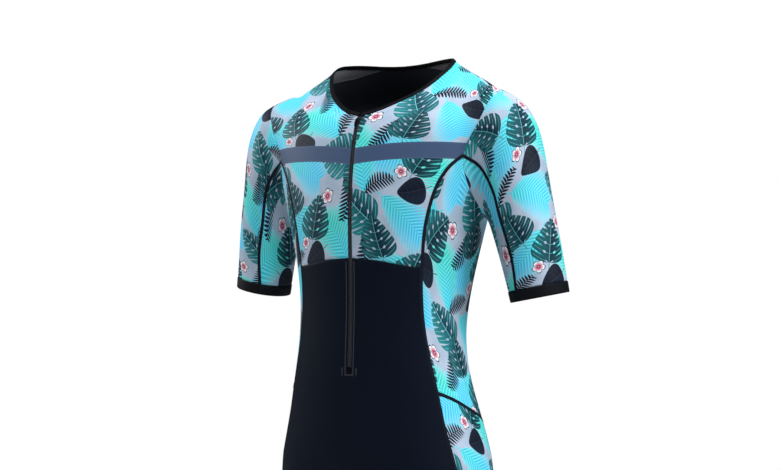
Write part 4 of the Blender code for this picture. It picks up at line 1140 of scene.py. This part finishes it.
# Materials
class Number:
    """A number in a shader, with ordinary arithmetic."""

    def __init__(self, net, socket):
        self.net, self.socket = net, socket

    def _do(self, operation, *others):
        return self.net.math(operation, self, *others)

    def __add__(self, other): return self._do("ADD", other)
    def __radd__(self, other): return self.net.math("ADD", other, self)
    def __sub__(self, other): return self._do("SUBTRACT", other)
    def __rsub__(self, other): return self.net.math("SUBTRACT", other, self)
    def __mul__(self, other): return self._do("MULTIPLY", other)
    def __rmul__(self, other): return self.net.math("MULTIPLY", other, self)
    def __truediv__(self, other): return self._do("DIVIDE", other)
    def __neg__(self): return self.net.math("MULTIPLY", self, -1.0)
    def abs(self): return self._do("ABSOLUTE")
    def sin(self): return self._do("SINE")
    def cos(self): return self._do("COSINE")
    def frac(self): return self._do("FRACT")
    def power(self, other): return self._do("POWER", other)
    def less(self, other): return self._do("LESS_THAN", other)
    def more(self, other): return self._do("GREATER_THAN", other)
    def least(self, other): return self._do("MINIMUM", other)
    def most(self, other): return self._do("MAXIMUM", other)


class Net:
    """A node tree with short ways to add and link nodes."""

    def __init__(self, tree):
        self.tree = tree

    def node(self, kind, settings=(), **inputs):
        made = self.tree.nodes.new("ShaderNode" + kind)
        for name, value in dict(settings).items():
            setattr(made, name, value)
        for name, value in inputs.items():
            self.give(made.inputs[name.replace("_", " ")], value)
        return made

    def give(self, socket, value):
        if isinstance(value, Number):
            value = value.socket
        if isinstance(value, bpy.types.NodeSocket):
            self.tree.links.new(value, socket)
        else:
            socket.default_value = value

    def math(self, operation, *values):
        made = self.tree.nodes.new("ShaderNodeMath")
        made.operation = operation
        for socket, value in zip(made.inputs, values):
            self.give(socket, value)
        return Number(self, made.outputs[0])

    def ramp(self, value, low, high):
        """0 below low, 1 above high, smooth between them."""
        made = self.node("MapRange", {"interpolation_type": "SMOOTHSTEP"})
        self.give(made.inputs[0], value)
        self.give(made.inputs[1], low)
        self.give(made.inputs[2], high)
        return Number(self, made.outputs[0])

    def mix(self, share, first, second):
        made = self.tree.nodes.new("ShaderNodeMix")
        made.data_type = "RGBA"
        self.give(made.inputs[0], share)
        self.give(made.inputs[6], first)
        self.give(made.inputs[7], second)
        return made.outputs[2]

    def split(self, vector):
        made = self.node("SeparateXYZ")
        self.give(made.inputs[0], vector)
        return Number(self, made.outputs[0]), Number(self, made.outputs[1])

    def noise(self, vector, scale, detail=2.0):
        made = self.node("TexNoise", Scale=scale, Detail=detail)
        self.give(made.inputs["Vector"], vector)
        return Number(self, made.outputs[0])

    def group(self, tree, *values):
        made = self.tree.nodes.new("ShaderNodeGroup")
        made.node_tree = tree
        for socket, value in zip(made.inputs, values):
            self.give(socket, value)
        return made.outputs


def rgb(text):
    """A colour written as six hexadecimal digits, made linear."""
    parts = [int(text[i:i + 2], 16) / 255 for i in (0, 2, 4)]
    return tuple(part / 12.92 if part <= 0.04045 else ((part + 0.055) / 1.055) ** 2.4 for part in parts) + (1.0,)


def new_group(name, inputs, outputs):
    """An empty node group, with its net and the sockets of its inputs."""
    tree = bpy.data.node_groups.new(name, "ShaderNodeTree")
    for label, kind in inputs:
        tree.interface.new_socket(label, in_out="INPUT", socket_type="NodeSocket" + kind)
    for label, kind in outputs:
        tree.interface.new_socket(label, in_out="OUTPUT", socket_type="NodeSocket" + kind)
    start = tree.nodes.new("NodeGroupInput")
    end = tree.nodes.new("NodeGroupOutput")
    return tree, Net(tree), start, end


def frond_group():
    """A feathered palm leaf from the place 0 to 1 along its rib: its mask, the place
    along it, and how light its leaflets are there."""
    tree, net, start, end = new_group(
        "frond", [("Vector", "Vector"), ("Count", "Float"), ("Slant", "Float"), ("Width", "Float"),
                  ("Bend", "Float"), ("Fill", "Float")],
        [("Mask", "Float"), ("Along", "Float"), ("Light", "Float")])
    x, y = net.split(start.outputs[0])
    count, slant, width, bend, fill = (Number(net, socket) for socket in start.outputs[1:6])
    y = y - bend * (x - x * x)
    away = y.abs()
    root = x - slant * away
    inside = root.more(0.0) * root.less(1.0)
    clipped = root.most(0.0).least(1.0)
    reach = width * (0.30 + 0.70 * (clipped * 3.1416).sin().most(0.0).power(0.6))
    share = (away / reach).least(1.0)
    wave = ((root * count + y.more(0.0) * 0.5).frac() - 0.5).abs() * 2.0
    leaflet = wave.less(fill * (1.0 - share.power(3.0) * 0.9)) * away.less(reach)
    rib = away.less(0.010 * (1.15 - x).most(0.0)) * x.more(-0.12) * x.less(1.02)
    net.give(end.inputs[0], (leaflet * inside).most(rib))
    net.give(end.inputs[1], x + share * 0.2)
    net.give(end.inputs[2], net.ramp(wave, 0.9, 0.1))
    return tree


def leaf_group():
    """A broad leaf with slits between its veins: its mask, its veins and its shade."""
    tree, net, start, end = new_group(
        "leaf", [("Vector", "Vector"), ("Count", "Float"), ("Slit", "Float")],
        [("Mask", "Float"), ("Vein", "Float"), ("Shade", "Float")])
    x, y = net.split(start.outputs[0])
    count, slit = (Number(net, socket) for socket in start.outputs[1:3])
    y = y - 0.10 * (x - x * x)
    away = y.abs()
    held = x.most(0.0).least(1.0)
    lobe = 0.92 * (held * (1.0 - held)).power(0.5) * (1.42 - 0.95 * held)
    notch = 0.10 * (1.0 - (x * 9.0).most(0.0)).most(0.0)
    share = away / (lobe + 0.001)
    root = x - 0.30 * away - 0.55 * away * away
    wave = ((root * count).frac() - 0.5).abs() * 2.0
    cut = net.ramp(share, 0.34, 0.95) * slit
    open_cut = wave.less(cut)
    hole_wave = ((root * count + 0.5).frac() - 0.5).abs() * 2.0
    hole = (((share - 0.30) * 6.5).power(2.0) + (hole_wave * 1.9).power(2.0)).less(0.30) * slit.more(0.05)
    body = share.less(1.0) * (away + notch).more(notch * 1.0) * x.more(0.0) * x.less(1.0)
    mask = body * (1.0 - open_cut) * (1.0 - hole)
    stalk = away.less(0.011) * x.more(-0.22) * x.less(0.5)
    net.give(end.inputs[0], mask.most(stalk))
    vein = net.ramp(hole_wave, 0.10, 0.02) * share.less(0.9)
    net.give(end.inputs[1], vein.most(away.less(0.009)))
    net.give(end.inputs[2], share * 0.55 + y.more(0.0) * 0.30 + (1.0 - wave) * 0.15)
    return tree


def flower_group():
    """A five-petalled flower round the place 0: its mask, and how far out on a petal a point lies."""
    tree, net, start, end = new_group(
        "flower", [("Vector", "Vector")], [("Mask", "Float"), ("Share", "Float"), ("Ray", "Float")])
    x, y = net.split(start.outputs[0])
    radius = (x * x + y * y).power(0.5)
    turn = net.math("ARCTAN2", y, x)
    petal = (turn * 2.5).cos().abs()
    edge = 0.24 + 0.24 * petal.power(0.55)
    share = radius / edge
    net.give(end.inputs[0], share.less(1.0))
    net.give(end.inputs[1], share)
    net.give(end.inputs[2], petal)
    return tree


# The print's own layout, in centimetres on a tile that repeats
TILE = (14.6, 19.0)
Motif = namedtuple("Motif", "kind x y turn size")
MOTIFS = [
    Motif("frond_blue", 2.4, 15.4, 214, 9.0),
    Motif("frond_aqua", 11.2, 11.2, 122, 9.0),
    Motif("frond_blue", 5.4, 5.0, 322, 8.6),
    Motif("fern_dark", 13.4, 16.8, 258, 6.0),
    Motif("leaf_green", 7.4, 15.6, 70, 7.0),
    Motif("fern_dark", 1.2, 9.0, 40, 5.6),
    Motif("leaf_teal", 12.6, 4.8, 150, 7.0),
    Motif("leaf_dark", 6.6, 9.6, 200, 4.6),
    Motif("leaf_green", 1.6, 1.2, 108, 6.4),
    Motif("flower", 10.2, 18.2, 15, 2.6),
    Motif("flower", 4.4, 12.2, 50, 2.4),
]
GROUND = rgb("acbbd0")


def print_group():
    """The leaf print: its colour at a place of the flat cloth, in metres."""
    tree, net, start, end = new_group("leaf_print", [("Vector", "Vector")], [("Color", "Color")])
    frond, leaf, flower = frond_group(), leaf_group(), flower_group()
    spread = net.node("VectorMath", {"operation": "SCALE"}, Scale=100.0)
    net.give(spread.inputs[0], start.outputs[0])
    spot = spread.outputs[0]
    wash = net.noise(spot, 0.22)
    grain = net.noise(spot, 2.4)
    colour = net.mix(net.ramp(wash, 0.38, 0.62), GROUND, rgb("9cb0c4"))

    def local(motif, middle):
        moved = net.node("VectorMath", {"operation": "SUBTRACT"})
        net.give(moved.inputs[0], spot)
        moved.inputs[1].default_value = (motif.x, motif.y, 0.0)
        wrapped = net.node("VectorMath", {"operation": "WRAP"})
        net.give(wrapped.inputs[0], moved.outputs[0])
        wrapped.inputs[1].default_value = (TILE[0] / 2, TILE[1] / 2, 1.0)
        wrapped.inputs[2].default_value = (-TILE[0] / 2, -TILE[1] / 2, -1.0)
        turned = net.node("Mapping", {"vector_type": "TEXTURE"})
        net.give(turned.inputs["Vector"], wrapped.outputs[0])
        turned.inputs["Rotation"].default_value = (0.0, 0.0, math.radians(motif.turn))
        turned.inputs["Scale"].default_value = (motif.size, motif.size, 1.0)
        shifted = net.node("VectorMath", {"operation": "ADD"})
        net.give(shifted.inputs[0], turned.outputs[0])
        shifted.inputs[1].default_value = (middle, 0.0, 0.0)
        return shifted.outputs[0]

    for number, motif in enumerate(MOTIFS):
        kind = motif.kind
        if kind.startswith(("frond", "fern")):
            settings = {"frond_blue": (15.0, 0.72, 0.44, 0.30, 1.02), "frond_aqua": (16.0, 0.62, 0.40, -0.30, 1.02),
                        "fern_dark": (11.0, 0.35, 0.25, 0.42, 0.75)}[kind]
            mask, place, light = (Number(net, item) for item in net.group(frond, local(motif, 0.5), *settings))
            first, second, lit = {"frond_blue": ("28bcca", "38b4e6", "88eefa"), "frond_aqua": ("34bbe0", "26c2b8", "82f4ee"),
                                  "fern_dark": ("0b1120", "141d2e", "1a2838")}[kind]
            leaflet = net.mix(net.ramp(place + grain * 0.3 - 0.15, 0.15, 0.95), rgb(first), rgb(second))
            colour = net.mix(mask, colour, net.mix(light * 0.62, leaflet, rgb(lit)))
        elif kind.startswith("leaf"):
            mask, vein, shade = net.group(leaf, local(motif, 0.5), 5.0, 0.0 if kind == "leaf_dark" else 0.26)
            tone = net.ramp(Number(net, shade) + grain * 0.3 - 0.15, 0.0, 1.0)
            pair = {"leaf_green": (rgb("0b2434"), rgb("1e6068")), "leaf_teal": (rgb("0e3446"), rgb("278288")),
                    "leaf_dark": (rgb("0d1322"), rgb("182334"))}[kind]
            body = net.mix(tone, *pair)
            light = {"leaf_green": "5cabb4", "leaf_teal": "7accd2", "leaf_dark": "2c3a4c"}[kind]
            body = net.mix(Number(net, vein) * 0.75, body, rgb(light))
            colour = net.mix(mask, colour, body)
        else:
            mask, share, ray = net.group(flower, local(motif, 0.0))
            share, ray = Number(net, share), Number(net, ray)
            petal = net.mix(net.ramp(share, 0.25, 0.85), rgb("c64a72"), rgb("f0eef2"))
            petal = net.mix(net.ramp(ray, 0.30, 0.05), petal, rgb("2c3350"))
            petal = net.mix(share.less(0.20), petal, rgb("1d2440"))
            petal = net.mix(share.less(0.09), petal, rgb("f3d9df"))
            petal = net.mix(share.more(0.87), petal, rgb("232a48"))
            colour = net.mix(mask, colour, petal)
    net.give(end.inputs[0], colour)
    return tree


def knit_height(net, place):
    """The relief of a fine knit: wales down the cloth and courses across it."""
    x, y = net.split(place)
    wale = (x * (2 * math.pi / 0.00075)).sin()
    course = (y * (2 * math.pi / 0.00060) + wale * 0.9).sin()
    return wale * 0.5 + course * 0.35


def cloth_material(name, colour, rough=0.55, sheen=0.15, relief=0.3, printed=None, band=False,
                   specular=0.35, ribs=False):
    """A knitted or woven cloth, plain or with the leaf print."""
    made = bpy.data.materials.new(name)
    made.use_nodes = True
    net = Net(made.node_tree)
    shader = made.node_tree.nodes["Principled BSDF"]
    place = net.node("UVMap", {"uv_map": "cloth"}).outputs[0]
    shade = rgb(colour)
    if printed:
        shade = net.group(printed, place)[0]
    if band:
        _, level = net.split(net.node("UVMap", {"uv_map": "band"}).outputs[0])
        stripe = level.abs().less(BAND_HALF)
        lines = (level.abs() - (BAND_HALF - 0.0016)).abs().less(0.0004)
        slate = net.mix(lines * 0.35, rgb("3f5271"), rgb("5c7190"))
        shade = net.mix(stripe, shade, slate)
    mottle = net.noise(place, 900.0, 1.0)
    tone = net.node("HueSaturation")
    net.give(tone.inputs["Value"], 0.94 + mottle * 0.12)
    net.give(tone.inputs["Color"], shade)
    net.give(shader.inputs["Base Color"], tone.outputs[0])
    net.give(shader.inputs["Roughness"], rough - 0.06 + mottle * 0.12)
    shader.inputs["Specular IOR Level"].default_value = specular
    shader.inputs["Sheen Weight"].default_value = sheen
    shader.inputs["Sheen Roughness"].default_value = 0.5
    height = knit_height(net, place)
    if ribs:
        x, y = net.split(place)
        height = (y * (2 * math.pi / 0.0014)).sin() * 1.4 + (x * (2 * math.pi / 0.0006)).sin() * 0.3
    bump = net.node("Bump", Strength=relief, Distance=0.00012)
    net.give(bump.inputs["Height"], height)
    net.give(shader.inputs["Normal"], bump.outputs[0])
    return made


def hard_material(name, colour, rough, metallic=0.0, coat=0.0):
    """Lacquered metal or moulded plastic with fine wear."""
    made = bpy.data.materials.new(name)
    made.use_nodes = True
    net = Net(made.node_tree)
    shader = made.node_tree.nodes["Principled BSDF"]
    place = net.node("TexCoord").outputs["Object"]
    wear = net.noise(place, 1400.0, 3.0)
    net.give(shader.inputs["Base Color"], net.mix(net.ramp(wear, 0.62, 0.78), rgb(colour), rgb("30333c")))
    net.give(shader.inputs["Roughness"], rough - 0.05 + wear * 0.16)
    shader.inputs["Metallic"].default_value = metallic
    shader.inputs["Coat Weight"].default_value = coat
    bump = net.node("Bump", Strength=0.2, Distance=0.00005)
    net.give(bump.inputs["Height"], wear)
    net.give(shader.inputs["Normal"], bump.outputs[0])
    return made

# The band across the chest, by its distance from the middle of the front
BAND_HEIGHT = -0.1485
BAND_BOW = 0.0075
BAND_CREST = 0.115
BAND_HALF = 0.0130


def dress():
    """The panels of the suit, each on its body and in place of its solid."""
    lines = all_lines()
    leaves = print_group()
    looks = {
        "print": cloth_material("print_knit_look", "9aa0ab", printed=leaves, specular=0.12, sheen=0.0),
        "banded": cloth_material("print_band_look", "9aa0ab", printed=leaves, band=True, specular=0.12, sheen=0.0),
        "reverse": cloth_material("print_reverse", "8f9096", rough=0.75, specular=0.1, sheen=0.05),
        "black": cloth_material("black_knit_look", "0a111e", rough=0.6, sheen=0.0, specular=0.05),
        # The inner face of the black panels is grey, not black: painted light that lifts the shaded inside seen
        # through the neck opening.
        "black_back_painted_light": cloth_material("black_reverse_painted_light", "4a4d59", rough=0.7, specular=0.06, sheen=0.0),
        "binding": cloth_material("binding_knit", "07080d", rough=0.6, relief=0.35, specular=0.08, sheen=0.0),
        "elastic": cloth_material("ribbed_elastic", "080a10", rough=0.62, relief=0.6, ribs=True, specular=0.1, sheen=0.0),
        "seam": cloth_material("seam_thread", "0e1521", rough=0.7, relief=0.6, ribs=True, specular=0.1, sheen=0.0),
        "zip_thread": cloth_material("zip_thread", "31333d", rough=0.6, relief=0.2, specular=0.2, sheen=0.0),
        "thread": cloth_material("black_thread", "12151f", rough=0.6, relief=0.2, specular=0.2, sheen=0.0),
        "tape": cloth_material("zip_tape_weave", "07080c", rough=0.72, relief=0.5, specular=0.08, sheen=0.0),
        "teeth": hard_material("zip_nylon_coil", "0d111c", 0.42),
        "metal": hard_material("zip_black_metal", "17181c", 0.34, metallic=0.85, coat=0.1),
    }
    panels = [
        ("front_yoke", yoke_patches, "banded"),
        ("side", side_patches, "print"),
        ("leg_side", leg_side_patches, "print"),
        ("sleeve", sleeve_patches, "print"),
        ("underarm", underarm_patches, "print"),
    ]
    shifts = {"front_yoke": [(0.030, 0.012), (0.078, 0.121)], "side": [(0.021, 0.052), (0.110, 0.030)],
              "leg_side": [(0.064, 0.150), (0.012, 0.090)], "sleeve": [(0.090, 0.034), (0.047, 0.098)],
              "underarm": [(0.010, 0.080), (0.070, 0.020)]}
    pieces = {}
    for name, patches, face in panels:
        for number, side in enumerate(("left", "right")):
            node = name + "_" + side
            pieces[node] = shell(node + "_cloth", [stacked(patches(lines))], [looks[face], looks["reverse"]],
                                 shift=shifts[name][number], mirror=side == "right")
    # The black panels' inner face is grey: painted light on their shaded inside.
    for node, patches in (("front_lower", front_patches), ("back", back_patches)):
        pieces[node] = shell(node + "_cloth", [stacked(patches(lines))], [looks["black"], looks["black_back_painted_light"]],
                             both=True)
    for node, piece in pieces.items():
        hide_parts(node)
        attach(piece, "suit")
    return lines, looks, pieces


lines, looks, pieces = dress()

for side, sign in (("left", 1), ("right", -1)):
    for name, loop, width, slot in (("cuff", CUFF_LOOP, CUFF_WIDTH, "black_elastic"),
                                    ("leg_band", HEM_LOOP, HEM_WIDTH, "black_elastic")):
        piece = limb_band(name + "_elastic_" + side, loop, width, looks["elastic"], sign)
        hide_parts(name + "_" + side)
        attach(piece, "suit")
        pieces[name + "_" + side] = piece

collar, collar_sewn = add_collar(lines, looks["binding"], looks["thread"])
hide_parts("collar")
pieces["collar"] = collar
for piece in (collar, collar_sewn):
    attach(piece, "suit")

tapes = add_zip_tapes(lines, looks["tape"])
for piece, side in zip(tapes, ("left", "right")):
    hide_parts("zip_tape_" + side)
    pieces["zip_tape_" + side] = piece
    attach(piece, "suit")
teeth = add_teeth(lines, looks["teeth"])
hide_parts("zip_chain")
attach(teeth, "suit")
for piece, node, body in ((add_slider(looks["metal"]), "zip_slider", "suit"),
                          (add_pull(looks["metal"]), "zip_pull", "zip_pull"),
                          (add_stop(lines, looks["metal"]), "zip_stop", "suit")):
    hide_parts(node)
    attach(piece, body)

# The sewing beside the zip in the lower front, and the bars at its foot
zip_sewing = Mesh()
zip_rows = Mesh()
slit = resampled(lines["centre_zip"], 0.003) * np.array([0.0, 1.0, 1.0])
foot = slit[-1]
for sign in (-1, 1):
    below = foot - np.outer(np.linspace(0.0, ZIP_ROW_END, 4)[1:], [0.0, 0.0, 1.0])
    row = np.concatenate([slit[2:], below]) + np.array([sign * ZIP_ROW, 0.0, 0.0])
    seam_tape(zip_rows, row, half=ZIP_ROW_HALF, height=ZIP_ROW_HEIGHT)
    stitches(zip_sewing, row, ZIP_ROW_HEIGHT)
    tick = foot + np.outer(np.linspace(0.006, -ZIP_ROW_END, 5), [0.0, 0.0, 1.0])
    seam_tape(zip_rows, tick + np.array([sign * ZIP_TICK, 0.0, 0.0]), half=ZIP_ROW_HALF, height=ZIP_ROW_HEIGHT)
row = foot + np.stack([np.linspace(-ZIP_ROW, ZIP_ROW, 9), np.zeros(9), np.full(9, -ZIP_BAR_DROP)], 1)
seam_tape(zip_rows, row, half=ZIP_ROW_HALF, height=ZIP_ROW_HEIGHT)
zip_trim = [turned_out(zip_rows.object("zip_seam_rows", [looks["zip_thread"]])),
            turned_out(zip_sewing.object("zip_seam_stitches", [looks["zip_thread"]]))]
for piece in zip_trim:
    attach(piece, "suit")

# Seams on the wearer's left and right
for side, sign in (("left", 1), ("right", -1)):
    tape = Mesh()
    sewn = Mesh()
    for names in SEWN_SEAMS:
        path = joined(lines, *names)
        seam_tape(tape, path, sign=sign)
        for spot in (-SEAM_ROW, SEAM_ROW):
            stitches(sewn, aside(resampled(path, 0.004), spot), SEAM_HEIGHT, sign)
    piece = turned_out(tape.object("flat_seams_" + side, [looks["seam"]]))
    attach(piece, "suit")
    sewing = turned_out(sewn.object("seam_stitches_" + side, [looks["thread"]]))
    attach(sewing, "suit")
    "side_" + side

# What each piece of cloth was cut to before it was stretched in wear, in metres
CUTS = {
    "front_yoke": (0.182, 0.416, 0.0498), "side": (0.246, 0.309, 0.0528), "leg_side": (0.131, 0.446, 0.0479),
    "sleeve": (0.281, 0.325, 0.0599), "underarm": (0.237, 0.124, 0.0214), "front_lower": (0.495, 0.694, 0.2370),
    "back": (0.500, 1.027, 0.3574), "cuff": (0.018, 0.290, None), "leg_band": (0.030, 0.470, None),
    "collar": (0.010, 0.722, 0.0053), "zip_tape": (0.0112, 0.410, None),
}
for node, piece in pieces.items():
    width, length, area = CUTS[node.removesuffix("_left").removesuffix("_right")]

# Camera, light and floor
TURN = math.radians(29.0)
CAMERA_AWAY = 2.08
CAMERA_ASIDE = 0.0061
CAMERA_HEIGHT = -0.28
ROOM_LIGHT = 0.06
LENS_MM = 1258 / 780 * 36


def point_at(item, target):
    """Turn a light or camera to look at a place."""
    run = np.array(target) - np.array(item.location)
    flat = math.hypot(run[0], run[1])
    item.rotation_euler = (math.atan2(flat, -run[2]), 0.0, math.atan2(-run[0], run[1]))


def add_camera():
    data = bpy.data.cameras.new("camera")
    data.lens = LENS_MM
    data.sensor_width = 36
    camera = bpy.data.objects.new("camera", data)
    camera.location = (CAMERA_AWAY * math.sin(TURN) + CAMERA_ASIDE * math.cos(TURN),
                       -CAMERA_AWAY * math.cos(TURN) + CAMERA_ASIDE * math.sin(TURN), CAMERA_HEIGHT)
    camera.rotation_euler = (math.pi / 2, 0.0, TURN)
    bpy.context.scene.collection.objects.link(camera)
    bpy.context.scene.camera = camera


def add_light(name, place, target, power, size):
    data = bpy.data.lights.new(name, "AREA")
    data.energy, data.size = power, size
    light = bpy.data.objects.new(name, data)
    light.location = place
    point_at(light, target)
    bpy.context.scene.collection.objects.link(light)


def add_stage():
    floor_mesh = bpy.data.meshes.new("floor")
    turns = np.linspace(0, 2 * math.pi, 64, endpoint=False)
    floor_mesh.from_pydata([(1.5 * math.cos(t), 1.5 * math.sin(t), 0.0) for t in turns], [], [tuple(range(64))])
    floor = bpy.data.objects.new("floor", floor_mesh)
    floor.location = (0.0, 0.0, cad_low - 0.001)
    material = bpy.data.materials.new("floor_look")
    material.use_nodes = True
    shader = material.node_tree.nodes["Principled BSDF"]
    shader.inputs["Base Color"].default_value = (0.86, 0.86, 0.86, 1.0)
    shader.inputs["Roughness"].default_value = 0.8
    floor_mesh.materials.append(material)
    bpy.context.scene.collection.objects.link(floor)
    world = bpy.data.worlds.new("studio")
    world.use_nodes = True
    net = Net(world.node_tree)
    lit = world.node_tree.nodes["Background"]
    lit.inputs["Strength"].default_value = ROOM_LIGHT
    white = net.node("Background", Strength=1.0)
    for item in (lit, white):
        item.inputs["Color"].default_value = (1.0, 1.0, 1.0, 1.0)
    both = net.node("MixShader")
    net.give(both.inputs[0], net.node("LightPath").outputs["Is Camera Ray"])
    net.give(both.inputs[1], lit.outputs[0])
    net.give(both.inputs[2], white.outputs[0])
    net.give(world.node_tree.nodes["World Output"].inputs[0], both.outputs[0])
    bpy.context.scene.world = world
    bpy.context.scene.view_settings.view_transform = "Standard"


cad_low = min(point[2] for point in cad_box)
add_camera()
add_stage()
add_light("key", (0.7, -1.1, 2.6), (0.0, 0.0, -0.3), 112.0, 0.7)
add_light("left", (2.2, 0.0, 0.5), (0.0, 0.0, -0.3), 38.0, 1.0)
add_light("right", (-2.3, -0.3, 0.6), (0.0, 0.0, -0.3), 40.0, 1.0)
add_light("back", (-0.6, 2.4, 1.2), (0.0, 0.0, -0.3), 9.0, 1.3)
